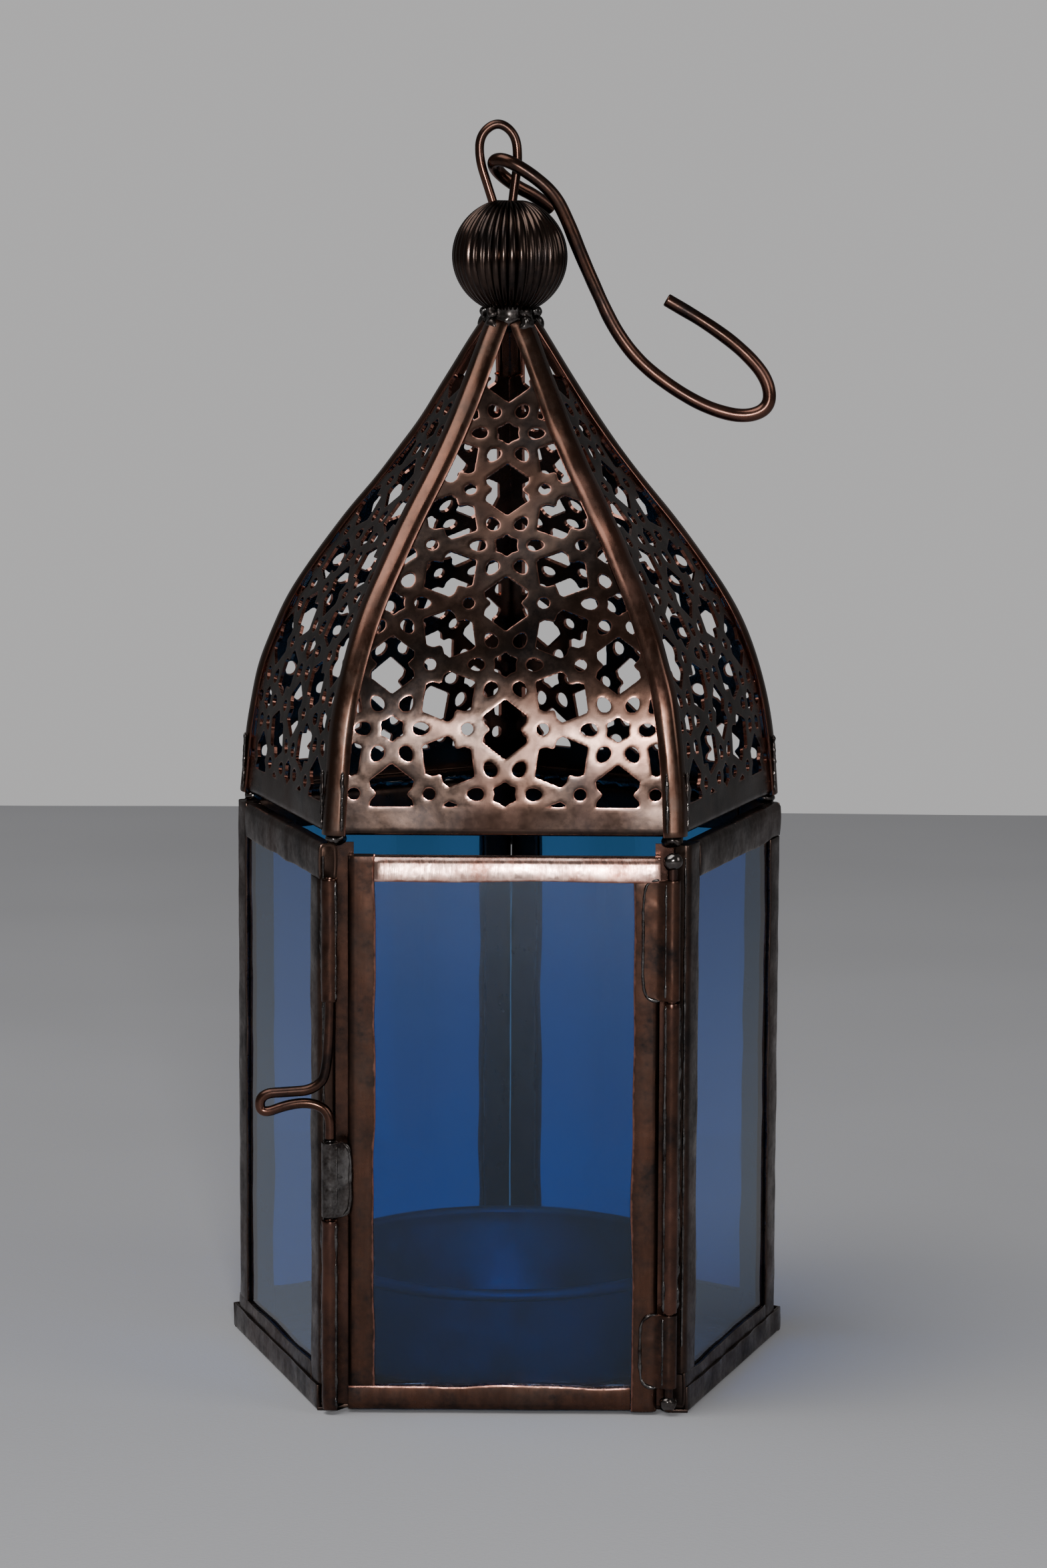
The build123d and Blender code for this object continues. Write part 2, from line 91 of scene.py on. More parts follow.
# ---------------------------------------------------------------- settings
class LanternBodySizes(bpy.types.PropertyGroup):
    """Sizes of the framed panes, the door, the tray and the cup."""
    corner_radius: length("Corner radius", 36.0, "Axis to a corner of the outer faces")
    body_top: length("Body top", top_of("right_panel_top_rail"), "Top of the fixed panels")
    sheet: length("Sheet", 0.4, "Thickness of the folded sheet")
    pane: length("Pane", 1.2, "Thickness of the glass")
    fold_radius: length("Fold radius", 0.55, "Outside radius of a folded edge")
    seam_gap: length("Seam gap", 0.1, "Between two fixed panels at their inner edges")
    flange: length("Strip width", 4.2, "Width of the strips on the fixed panels")
    door_stile: length("Door stile", 3.1, "Width of the door's upright strips")
    door_rail: length("Door rail", 2.9, "Width of the door's level strips")
    door_foot: length("Door foot", foot_of("door_bottom_rail"), "Lower edge of the door")
    door_top: length("Door top", top_of("door_top_rail"), "Upper edge of the door")
    door_half_width: length("Half door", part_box("door_top_rail")[1][0] / MM, "Axis to the door's edge")
    door_gap: length("Door gap", 1.42, "Door's edge to the panel beside it")
    door_face: length("Door face", -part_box("door_top_rail")[0][1] / MM, "Axis to the door's front")
    rail_lean: length("Rail lean", 0.5, "How far the lower edge of the door's top rail stands out")
    pillow: length("Strip crown", 0.13, "How far the face of a strip stands out along its middle")
    tray_thickness: length("Tray", 0.5, "Thickness of the tray's plate")
    tray_rim: length("Tray rim", top_of("base_tray"), "Height of the tray's rim")
    tray_front: length("Tray front", 26.52, "Axis to the tray's edge behind the door")
    cup_radius: length("Cup radius", 21.4, "Inside radius of the cup at its rim")
    cup_taper: length("Cup taper", 0.8, "How much narrower the cup is at its floor")
    cup_wall: length("Cup wall", 0.5, "Thickness of the cup's wall")
    cup_bead: length("Cup bead", 0.75, "Radius of the cup's rolled rim")


class LanternRoofSizes(bpy.types.PropertyGroup):
    """Sizes of the roof sheets, their piercing, the ribs and the finial."""
    eave_height: length("Eave height", foot_of("roof_gore_front"), "Lower edge of the roof")
    eave_apothem: length("Eave apothem", 28.205, "Axis to a roof sheet's face at the eave")
    shoulder_height: length("Shoulder height", 105.0, "Where the roof's curve turns inward")
    shoulder_apothem: length("Shoulder apothem", 16.005, "Axis to the sheet's face at the shoulder")
    neck_height: length("Neck height", 127.9, "Upper end of the ribs")
    neck_apothem: length("Neck apothem", 2.55, "Axis to the ribs at the neck")
    sheet_top: length("Sheet top", top_of("roof_gore_front"), "Upper edge of the pierced sheets")
    eave_fold: length("Eave fold", 0.55, "Radius of the fold at the eave")
    eave_lip: length("Eave lip", 2.3, "Width of the lip folded under the eave")
    rib_thickness: length("Rib thickness", 0.6, "Thickness of the ribs")
    rib_width: length("Rib width", 3.6, "Width of the ribs")
    star_pitch: length("Star pitch", 15.2, "Between neighbouring stars")
    first_star: length("First star", 4.9, "Lowest star above the eave")
    plain_band: length("Plain band", 3.4, "Unpierced sheet at the eave")
    margin: length("Margin", 1.6, "Unpierced sheet beside a corner")
    star_outer: length("Star points", 1.5, "Centre of a star to its points")
    star_inner: length("Star hollows", 1.16, "Centre of a star to its hollows")
    petal_ring: length("Petal ring", 3.4, "Centre of a star to the small holes round it")
    petal_length: length("Petal half length", 0.98, "Half length of a petal, away from its star")
    petal_width: length("Petal half width", 0.76, "Half width of a petal")
    knot_length: length("Knot half length", 3.5, "Half length of a two-lobed hole")
    knot_width: length("Knot half width", 2.5, "Half width of a two-lobed hole")
    knot_waist: length("Knot waist", 1.7, "Half width of a two-lobed hole at its middle")
    dot_radius: length("Dot radius", 0.72, "Radius of the hole between three stars")
    grain: length("Sheet grain", 0.3, "Spacing of the points that the pierced sheet is cut from")
    ball_radius: length("Ball radius", 6.92, "Radius of the finial ball")
    ball_height: length("Ball height", 135.5, "Height of the ball's middle")
    flute_depth: length("Flute depth", 0.3, "Depth of the creases in the ball")


class LanternWireSizes(bpy.types.PropertyGroup):
    """Sizes of the wires, the sleeves on them and the solder."""
    loop_wire: length("Loop wire", 0.55, "Radius of the hanging loop's wire")
    hook_wire: length("Hook wire", 0.82, "Radius of the S-hook's wire")
    bolt_wire: length("Bolt wire", 0.6, "Radius of the bolt's wire")
    pin_wire: length("Pin wire", 0.55, "Radius of the hinge pin")
    running: length("Running clearance", 0.05, "Between a wire and its sleeve")
    sleeve_wall: length("Sleeve wall", 0.35, "Thickness of the rolled sleeves")
    sleeve_forward: length("Sleeve forward", 0.2, "Sleeve axes in front of the door's face")
    strap_reach: length("Strap reach", 3.4, "From the hinge pin onto the door")
    keeper_reach: length("Keeper reach", 2.4, "From the bolt onto the door")
    pin_inset: length("Pin inset", 1.55, "Hinge pin inside the front right corner")
    bolt_inset: length("Bolt inset", 0.85, "Bolt inside the front left corner")
    seam_radius: length("Seam radius", 0.2, "Radius of a line of solder")


class LanternColours(bpy.types.PropertyGroup):
    """Colours of the metals, the glass and the cloth."""
    oxide: colour("Oxide", 42, 37, 36, "Darkest patina in the hollows")
    bronze: colour("Bronze", 74, 60, 53, "Patina on the fixed strips")
    russet: colour("Russet", 92, 64, 52, "Patina on the door's strips and the ribs")
    # Rose copper: copper where the patina is rubbed thin, and also a painted highlight where it lightens worn
    # edges and the door's top rail.
    rose: colour("Rose copper", 150, 104, 90, "Copper where the patina is rubbed thin")
    # Polished copper: the door's top rail bared by the brush, lightened into a painted highlight.
    polish_and_highlight: colour("Polished copper", 226, 190, 176, "Copper where the brush has bared it")
    solder: colour("Solder", 116, 113, 111, "Darkened solder")
    soot: colour("Soot", 66, 64, 66, "Blackened sheet of the cup")
    glass: colour("Glass", 84, 158, 226, "Blue glass, as one face tints it")
    dust: colour("Dust", 150, 120, 92, "Grime on the glass at the door's foot")
    cloth: colour("Cloth", 184, 184, 187, "The cloth that the lantern stands on")
    backdrop: colour("Backdrop", 188, 187, 187, "The plain ground behind")


class LanternStageSettings(bpy.types.PropertyGroup):
    """The camera, the lamps and the floor."""
    camera_side: bpy.props.FloatProperty(
        name="Camera side", description="Camera to the right of the axis", default=7.5 * MM, unit="LENGTH")
    camera_back: length("Camera back", 547.0, "Camera in front of the axis")
    camera_height: length("Camera height", 144.8, "Camera above the floor")
    camera_pitch: bpy.props.FloatProperty(
        name="Camera pitch", description="How far the camera looks down", default=math.radians(7.653),
        subtype="ANGLE")
    camera_heading: bpy.props.FloatProperty(
        name="Camera heading", description="Turn of the camera about the vertical",
        default=math.radians(0.586), subtype="ANGLE")
    camera_roll: bpy.props.FloatProperty(
        name="Camera roll", description="Turn of the camera about its own line of sight",
        default=math.radians(0.244), subtype="ANGLE")
    lens: bpy.props.FloatProperty(
        name="Lens", description="Focal length in millimetres, for a 36 mm sensor", default=103.44)
    lamp_strength: bpy.props.FloatProperty(
        name="Lamp strength", description="Scales every lamp", default=1.0, min=0.0)
    floor_depth: length("Floor depth", 495.0, "Axis to the far edge of the floor")
    floor_width: length("Floor width", 1400.0, "Width of the floor")


GROUPS = {
    "lantern_body": LanternBodySizes,
    "lantern_roof": LanternRoofSizes,
    "lantern_wire": LanternWireSizes,
    "lantern_colours": LanternColours,
    "lantern_stage": LanternStageSettings,
}


class Millimetres:
    """Reads the lengths of a settings group in millimetres."""

    def __init__(self, group):
        self.group = getattr(bpy.context.scene, group)

    def __getattr__(self, name):
        return getattr(self.group, name) / MM


def body_sizes():
    """The body's sizes in millimetres, with what follows from them."""
    b = Millimetres("lantern_body")
    b.apothem = b.corner_radius * math.cos(HALF)
    b.side = 2 * b.corner_radius * math.sin(HALF)
    b.depth = b.pane + 2 * b.sheet
    reach = b.fold_radius + b.seam_gap / 2 + (b.depth - b.fold_radius) * math.sin(HALF)
    b.setback = reach / math.cos(HALF) - b.fold_radius
    b.panel_width = b.side - 2 * b.setback
    b.panel_height = b.body_top - b.tray_thickness
    b.face_y = -b.door_face
    b.web_outer = np.array((b.side / 2 + b.setback * math.cos(STEP), -b.apothem + b.setback * math.sin(STEP)))
    b.web_inner = b.web_outer + b.depth * np.array((-math.sin(STEP), math.cos(STEP)))
    w = Millimetres("lantern_wire")
    b.sleeve_y = b.face_y - w.sleeve_forward
    b.pin_x = b.side / 2 - w.pin_inset
    b.bolt_x = -(b.side / 2 - w.bolt_inset)
    return b


# ---------------------------------------------------------------- numpy helpers
def xyz(x, y, z):
    """Points from three arrays that broadcast together."""
    return np.stack(np.broadcast_arrays(x, y, z), axis=-1).astype(float)


def spin(points, angle):
    """The points turned about the lantern's axis."""
    c, s = math.cos(angle), math.sin(angle)
    x, y = points[..., 0], points[..., 1]
    return xyz(c * x - s * y, s * x + c * y, points[..., 2])


def tilt(points, angle):
    """The points turned about the Y axis."""
    c, s = math.cos(angle), math.sin(angle)
    x, z = points[..., 0], points[..., 2]
    return xyz(c * x + s * z, points[..., 1], -s * x + c * z)


def corner_turn(number):
    """The heading of a corner of the plan, counted from the front right one."""
    return -math.pi / 2 + STEP * (number + 0.5)


def unit(vectors):
    """The vectors, each of length one."""
    return vectors / np.linalg.norm(vectors, axis=-1, keepdims=True)


def ripple(points, seed, wave, waves=9):
    """An uneven value within about one of zero: the sum of sine waves of random heading, length and
    phase, each near the given wavelength."""
    rng = np.random.default_rng(seed)
    heading = unit(rng.normal(size=(waves, 3)))
    stretch = rng.uniform(0.6, 1.7, waves)
    phase = rng.uniform(0, 2 * math.pi, waves)
    turns = points @ heading.T / (wave * stretch)
    return np.sin(2 * math.pi * turns + phase).sum(axis=-1) / math.sqrt(waves)


def smooth_step(t):
    """Rises from 0 to 1 as t does, level at both ends."""
    t = np.clip(t, 0, 1)
    return t * t * (3 - 2 * t)


def smooth_line(points, steps):
    """A quadratic B-spline that starts at the first point, ends at the last and rounds the others:
    each span blends three neighbouring points by (1-t)^2/2, 1/2+t(1-t) and t^2/2."""
    held = np.array([points[0], *points, points[-1]], float)
    t = np.linspace(0, 1, steps, endpoint=False)[:, None]
    a, b, c = held[:-2, None], held[1:-1, None], held[2:, None]
    line = 0.5 * (1 - t) ** 2 * a + (0.5 + t * (1 - t)) * b + 0.5 * t ** 2 * c
    line = np.vstack([line.reshape(-1, 3), held[-1:]])
    keep = np.append(True, np.linalg.norm(np.diff(line, axis=0), axis=1) > WELD)
    return line[keep]


# ---------------------------------------------------------------- meshes
class Shell:
    """The grids and faces of one piece, gathered before they become its mesh."""

    def __init__(self):
        self.points, self.faces, self.edge, self.count = [], [], [], 0

    def add(self, points, faces, edge=None, inside=None):
        """Adds faces; where a point inside is given, the faces are turned away from it."""
        points = points.reshape(-1, 3)
        if inside is not None:
            corners = points[faces]
            across = np.cross(corners[:, 1] - corners[:, 0], corners[:, -1] - corners[:, 0])
            across += np.cross(corners[:, 2] - corners[:, 1], corners[:, 0] - corners[:, 1])
            if np.sum(across * (corners.mean(axis=1) - inside)) < 0:
                faces = faces[:, ::-1]
        self.points.append(points)
        self.faces += (faces + self.count).tolist()
        self.edge.append(np.full(len(points), FAR) if edge is None else np.ravel(edge))
        self.count += len(points)

    def grid(self, points, wrap=False, edge=None, inside=None):
        """Adds the quads between neighbouring rows and columns, the columns joined round if wrap."""
        rows, columns = points.shape[:2]
        i = np.arange(rows - 1)[:, None]
        j = np.arange(columns if wrap else columns - 1)[None, :]
        k = (j + 1) % columns
        quads = np.stack([i * columns + j, i * columns + k, (i + 1) * columns + k, (i + 1) * columns + j], -1)
        self.add(points, quads.reshape(-1, 4), edge, inside)

    def cap(self, ring):
        """Closes a ring with triangles to its middle."""
        middle = np.broadcast_to(ring.mean(axis=0), ring.shape)
        self.grid(np.stack([ring, middle]), wrap=True)

    def tube(self, line, radius, around=20, capped=True):
        """A circle carried along a line, square to it. The radius is one number, or one for each point
        of the line and each place round it."""
        tangent = unit(np.gradient(line, axis=0))
        headings = unit(np.array([(1, 0, 0), (0, 1, 0), (0, 0, 1), (1, 1, 0), (1, -1, 0), (1, 0, 1),
                                  (1, 0, -1), (0, 1, 1), (0, 1, -1)], float))
        reference = headings[np.argmin(np.abs(tangent @ headings.T).max(axis=0))]
        side = unit(np.cross(tangent, reference))
        up = np.cross(side, tangent)
        angle = np.linspace(0, 2 * math.pi, around, endpoint=False)[None, :, None]
        radius = np.broadcast_to(radius, (len(line), around))[..., None]
        rings = line[:, None] + radius * (np.cos(angle) * side[:, None] + np.sin(angle) * up[:, None])
        self.grid(rings, wrap=True)
        if capped:
            self.cap(rings[0])
            self.cap(rings[-1])

    def lump(self, centre, radii, seed, uneven=0.12):
        """A lump of solder: a spheroid whose radius swells and sinks with the ripple."""
        polar = np.linspace(0, math.pi, 15)[:, None]
        round_ = np.linspace(0, 2 * math.pi, 24, endpoint=False)[None, :]
        heading = xyz(np.sin(polar) * np.cos(round_), np.sin(polar) * np.sin(round_), np.cos(polar))
        swell = 1 + uneven * ripple(heading, seed, 1.6)
        self.grid(np.array(centre) + np.array(radii) * heading * swell[..., None], wrap=True)

    def seam(self, points, radius, seed, steps=14):
        """A line of solder: a tube whose radius rises and falls along it and round it."""
        line = smooth_line(points, steps)
        angle = np.linspace(0, 2 * math.pi, 12, endpoint=False)
        run = np.append(0, np.cumsum(np.linalg.norm(np.diff(line, axis=0), axis=1)))[:, None]
        place = xyz(run, np.cos(angle) * radius, np.sin(angle) * radius)
        swell = 1 + 0.3 * ripple(place, seed, 2.2) + 0.14 * ripple(place, seed + 1, 0.8)
        ends = np.sqrt(np.clip(np.minimum(run, run[-1] - run) / (2 * radius), 0.04, 1))
        self.tube(line, radius * swell * ends, around=12)

    def piece(self, name, material, body, slot, replaced=(), thickness=None, bevel=None, crease=38):
        """Makes the mesh: points welded, and either normals outwards on closed skins or a wall grown
        inwards from an open one. The piece then rides on its body."""
        mesh = bpy.data.meshes.new(name)
        mesh.from_pydata((np.vstack(self.points) * MM).tolist(), [], self.faces)
        mesh.attributes.new("edge", "FLOAT", "POINT").data.foreach_set("value", np.concatenate(self.edge))
        work = bmesh.new()
        work.from_mesh(mesh)
        bmesh.ops.remove_doubles(work, verts=work.verts, dist=WELD * MM)
        bmesh.ops.dissolve_degenerate(work, edges=work.edges, dist=WELD * MM / 4)
        if thickness is None:
            bmesh.ops.recalc_face_normals(work, faces=work.faces)
        work.to_mesh(mesh)
        work.free()
        piece = bpy.data.objects.new(name, mesh)
        bpy.context.scene.collection.objects.link(piece)
        if thickness is not None:
            wall = piece.modifiers.new("Wall", "SOLIDIFY")
            wall.thickness = thickness * MM
            wall.offset = -1
        if bevel is not None:
            soften = piece.modifiers.new("Soft edges", "BEVEL")
            soften.width = bevel * MM
            soften.segments = 2
            soften.limit_method = "ANGLE"
            soften.angle_limit = math.radians(50)
        if piece.modifiers:
            graph = bpy.context.evaluated_depsgraph_get()
            finished = bpy.data.meshes.new_from_object(piece.evaluated_get(graph))
            piece.modifiers.clear()
            piece.data = finished
            bpy.data.meshes.remove(mesh)
            finished.name = name
        piece.data.shade_smooth()
        piece.data.set_sharp_from_angle(angle=math.radians(crease))
        piece.data.materials.clear()
        piece.data.materials.append(material)
        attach(piece, body)
        if replaced:
            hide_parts(*replaced)
        return piece


# ---------------------------------------------------------------- shader node groups
class Tree:
    """Adds nodes to a node tree. A keyword names an input, with _ for a space, and takes a value or
    an output socket."""

    def __init__(self, tree):
        self.tree = tree

    def add(self, kind, options=None, **inputs):
        """Adds one node, sets its options and its inputs, and returns it."""
        node = self.tree.nodes.new(kind)
        for key, value in (options or {}).items():
            setattr(node, key, value)
        for key, value in inputs.items():
            socket = node.inputs[int(key[1:])] if key[1:].isdigit() else node.inputs[key.replace("_", " ")]
            if isinstance(value, bpy.types.NodeSocket):
                self.tree.links.new(value, socket)
            elif value is not None:
                socket.default_value = value
        return node

    def maths(self, operation, first, second=0.0):
        """A Math node's value."""
        return self.add("ShaderNodeMath", {"operation": operation}, i0=first, i1=second).outputs[0]

    def spread(self, value, low, high, to_low=0.0, to_high=1.0):
        """A value moved from one range to another, held at its ends."""
        node = self.add("ShaderNodeMapRange", None, Value=value, From_Min=low, From_Max=high,
                        To_Min=to_low, To_Max=to_high)
        return node.outputs[0]

    def mix(self, factor, first, second):
        """A colour between two colours."""
        node = self.add("ShaderNodeMix", {"data_type": "RGBA"})
        for socket, value in ((node.inputs[0], factor), (node.inputs[6], first), (node.inputs[7], second)):
            if isinstance(value, bpy.types.NodeSocket):
                self.tree.links.new(value, socket)
            else:
                socket.default_value = value
        return node.outputs[2]

    def noise(self, vector, scale, detail=3.0, rough=0.55):
        """A noise texture's value."""
        node = self.add("ShaderNodeTexNoise", None, Vector=vector, Scale=scale, Detail=detail,
                        Roughness=rough)
        return node.outputs["Fac"]


def node_group(name, inputs, outputs, fill):
    """A shader node group with named sockets. fill gets the tree and the inputs, and returns what each
    output is linked to."""
    group = bpy.data.node_groups.get(name)
    if group:
        return group
    group = bpy.data.node_groups.new(name, "ShaderNodeTree")
    for socket, kind in inputs.items():
        group.interface.new_socket(socket, in_out="INPUT", socket_type="NodeSocket" + kind)
    for socket, kind in outputs.items():
        group.interface.new_socket(socket, in_out="OUTPUT", socket_type="NodeSocket" + kind)
    tree = Tree(group)
    start = tree.add("NodeGroupInput")
    end = tree.add("NodeGroupOutput")
    for socket, value in fill(tree, start.outputs).items():
        group.links.new(value, end.inputs[socket])
    return group


def patina_group():
    """Cloudy patina: a dark and a light colour mixed by noise, with warm patches by a broader noise."""
    def fill(tree, given):
        broad = tree.noise(given["Vector"], tree.maths("MULTIPLY", given["Scale"], 0.3), 2.0)
        fine = tree.noise(given["Vector"], given["Scale"], 5.0, 0.62)
        speck = tree.noise(given["Vector"], tree.maths("MULTIPLY", given["Scale"], 7.0), 2.0)
        cloud = tree.maths("ADD", tree.maths("MULTIPLY", fine, 0.75), tree.maths("MULTIPLY", speck, 0.25))
        mask = tree.spread(cloud, 0.36, 0.64)
        colour_ = tree.mix(mask, given["Dark"], given["Light"])
        warm = tree.maths("MULTIPLY", tree.spread(broad, 0.46, 0.66), given["Warmth"])
        return {"Color": tree.mix(warm, colour_, given["Warm"]), "Mask": mask, "Height": cloud}
    return node_group("Patina", {"Vector": "Vector", "Scale": "Float", "Dark": "Color", "Light": "Color",
                                 "Warm": "Color", "Warmth": "Float"},
                      {"Color": "Color", "Mask": "Float", "Height": "Float"}, fill)


def brush_group():
    """Brush marks: noise drawn out along one direction by its stretch."""
    def fill(tree, given):
        drawn = tree.add("ShaderNodeVectorMath", {"operation": "MULTIPLY"}, i0=given["Vector"],
                         i1=given["Stretch"]).outputs[0]
        marks = tree.noise(drawn, 1.0, 4.0, 0.7)
        return {"Height": marks, "Mask": tree.spread(marks, 0.4, 0.62)}
    return node_group("Brush marks", {"Vector": "Vector", "Stretch": "Vector"},
                      {"Height": "Float", "Mask": "Float"}, fill)


def wear_and_highlight_group():
    """Worn edges, light ones also a painted edge highlight: where the distance to an edge, roughened by
    noise, is under the width.
    """
    def fill(tree, given):
        rough = tree.noise(given["Vector"], given["Scale"], 3.0)
        swing = tree.maths("MULTIPLY", given["Width"], 2.4)
        shift = tree.maths("MULTIPLY", tree.maths("SUBTRACT", rough, 0.5), swing)
        near = tree.maths("ADD", given["Distance"], shift)
        share = tree.maths("DIVIDE", near, given["Width"])
        return {"Mask": tree.spread(share, 0.15, 1.0, 1.0, 0.0)}
    return node_group("Edge wear and highlight",
                      {"Vector": "Vector", "Distance": "Float", "Width": "Float", "Scale": "Float"},
                      {"Mask": "Float"}, fill)


def glint_group():
    """Glints: small rounded pits and grains whose slopes catch the lamps, in patches."""
    def fill(tree, given):
        grain = tree.add("ShaderNodeTexVoronoi", {"feature": "SMOOTH_F1"}, Vector=given["Vector"],
                         Scale=given["Scale"], Smoothness=0.6).outputs["Distance"]
        broad = tree.maths("MULTIPLY", given["Scale"], 0.22)
        patch = tree.spread(tree.noise(given["Vector"], broad, 2.0), 0.42, 0.6)
        return {"Height": tree.maths("MULTIPLY", grain, patch), "Mask": patch}
    return node_group("Glints", {"Vector": "Vector", "Scale": "Float"},
                      {"Height": "Float", "Mask": "Float"}, fill)


def grime_group():
    """Grime that thins out upwards from a foot height, broken up by noise."""
    def fill(tree, given):
        height = tree.add("ShaderNodeSeparateXYZ", None, Vector=given["Vector"]).outputs["Z"]
        rise = tree.maths("DIVIDE", tree.maths("SUBTRACT", height, given["Foot"]), given["Reach"])
        cloud = tree.noise(given["Vector"], given["Scale"], 6.0, 0.7)
        low = tree.spread(tree.maths("SUBTRACT", tree.maths("ADD", cloud, 0.1), rise), 0.35, 0.75)
        broad = tree.maths("MULTIPLY", given["Scale"], 0.4)
        smear = tree.spread(tree.noise(given["Vector"], broad, 3.0), 0.5, 0.72)
        return {"Mask": low, "Smear": smear}
    return node_group("Grime", {"Vector": "Vector", "Foot": "Float", "Reach": "Float", "Scale": "Float"},
                      {"Mask": "Float", "Smear": "Float"}, fill)


# ---------------------------------------------------------------- materials
def tint(name):
    """One of the user's colours, with alpha."""
    return (*getattr(bpy.context.scene.lantern_colours, name), 1.0)


def new_material(name):
    """An empty material and its tree."""
    material = bpy.data.materials.new(name)
    material.use_nodes = True
    material.node_tree.nodes.clear()
    return material, Tree(material.node_tree)


def metal(name, dark, light, warm, warmth=0.5, scale=260, smooth=0.26, dull=0.5, stretch=(500, 500, 60),
          brush=0.3, glints=0.3, wear=0.0, worn="rose", metallic=1.0):
    """A patinated metal: cloudy colour, worn edges (where light, also a painted edge highlight), brush marks
    and glints. smooth and dull are the least and greatest roughness; brush and glints are bump strengths;
    wear is the width of worn edge, and worn its colour."""
    material = bpy.data.materials.get(name)
    if material:
        return material
    material, tree = new_material(name)
    place = tree.add("ShaderNodeTexCoord").outputs["Object"]
    patina = tree.add("ShaderNodeGroup", {"node_tree": patina_group()}, Vector=place, Scale=scale,
                      Dark=tint(dark), Light=tint(light), Warm=tint(warm), Warmth=warmth).outputs
    marks = tree.add("ShaderNodeGroup", {"node_tree": brush_group()}, Vector=place, Stretch=stretch).outputs
    grains = tree.add("ShaderNodeGroup", {"node_tree": glint_group()}, Vector=place, Scale=scale * 5).outputs
    shade, rough = patina["Color"], tree.spread(patina["Mask"], 0, 1, dull, smooth)
    if wear:
        edge = tree.add("ShaderNodeAttribute", {"attribute_name": "edge"}).outputs["Fac"]
        rubbed = tree.add("ShaderNodeGroup", {"node_tree": wear_and_highlight_group()}, Vector=place, Distance=edge,
                          Width=wear, Scale=scale * 3).outputs["Mask"]
        # Worn edges take the worn colour: wear, and where that colour is light rose copper also a painted
        # highlight along the edges.
        shade = tree.mix(rubbed, shade, tint(worn))
        rough = tree.maths("SUBTRACT", rough, tree.maths("MULTIPLY", rubbed, 0.1))
    scored = tree.maths("MULTIPLY", tree.maths("SUBTRACT", marks["Mask"], 0.5), 0.1)
    fine = tree.add("ShaderNodeBump", None, Strength=brush, Distance=0.02 * MM, Height=marks["Height"])
    raised = tree.add("ShaderNodeBump", None, Strength=glints, Distance=0.05 * MM, Height=grains["Height"],
                      Normal=fine.outputs[0])
    metal_ = tree.add("ShaderNodeBsdfPrincipled", None, Base_Color=shade, Metallic=metallic,
                      Roughness=tree.maths("ADD", rough, scored), Normal=raised.outputs[0])
    tree.add("ShaderNodeOutputMaterial", None, Surface=metal_.outputs[0])
    return material


def fixed_copper():
    """The darker strips of the fixed panels and the tray."""
    return metal("dark_copper_strip", "oxide", "bronze", "russet", 0.35, wear=0.22, worn="bronze")


def door_copper():
    """The browner strips of the door."""
    return metal("brown_copper_strip", "oxide", "russet", "bronze", 0.3, scale=220, wear=0.24,
                 stretch=(900, 500, 70), brush=0.4)


def rail_copper_painted_highlight():
    """The door's top rail, scored up and down by the brush, its colour lightened with rose and polished
    copper as a painted highlight.
    """
    return metal("brushed_rail_painted_highlight", "rose", "polish_and_highlight", "rose", 0.4, scale=300, smooth=0.2, dull=0.32,
                 stretch=(1500, 900, 90), brush=0.8, wear=0.25)


def pierced_copper():
    """The pierced roof sheets, their worn edges lightened with rose copper as wear and as a painted edge
    highlight.
    """
    return metal("pierced_copper", "oxide", "bronze", "russet", 0.5, scale=200, smooth=0.2, dull=0.31,
                 stretch=(350, 350, 350), brush=0.25, glints=0.16, wear=0.12, worn="rose")


def rib_copper():
    """The ribs of the roof, their worn edges lightened with rose copper as wear and as a painted highlight
    line.
    """
    return metal("rib_copper", "bronze", "russet", "rose", 0.35, scale=180, smooth=0.18, dull=0.32,
                 stretch=(500, 500, 60), brush=0.2, glints=0.2, wear=0.12)


def wire_copper():
    """Drawn copper wire."""
    return metal("wire_copper", "oxide", "russet", "rose", 0.25, scale=160, smooth=0.2, dull=0.34,
                 stretch=(300, 300, 300), brush=0.06, glints=0.06)


def bead_copper():
    """The fluted ball."""
    return metal("bead_copper", "oxide", "bronze", "russet", 0.3, scale=180, smooth=0.16, dull=0.3,
                 stretch=(300, 300, 60), brush=0.15, glints=0.15)


def soft_solder():
    """Darkened solder, lumpy and bright."""
    return metal("dark_solder", "oxide", "solder", "bronze", 0.4, scale=420, smooth=0.12, dull=0.34,
                 stretch=(300, 300, 300), brush=0.1, glints=0.7)


def sooty_sheet():
    """The blackened sheet of the cup."""
    return metal("sooty_sheet", "soot", "oxide", "bronze", 0.3, scale=150, smooth=0.34, dull=0.6,
                 stretch=(60, 60, 500), brush=0.12, glints=0.04, metallic=0.3)


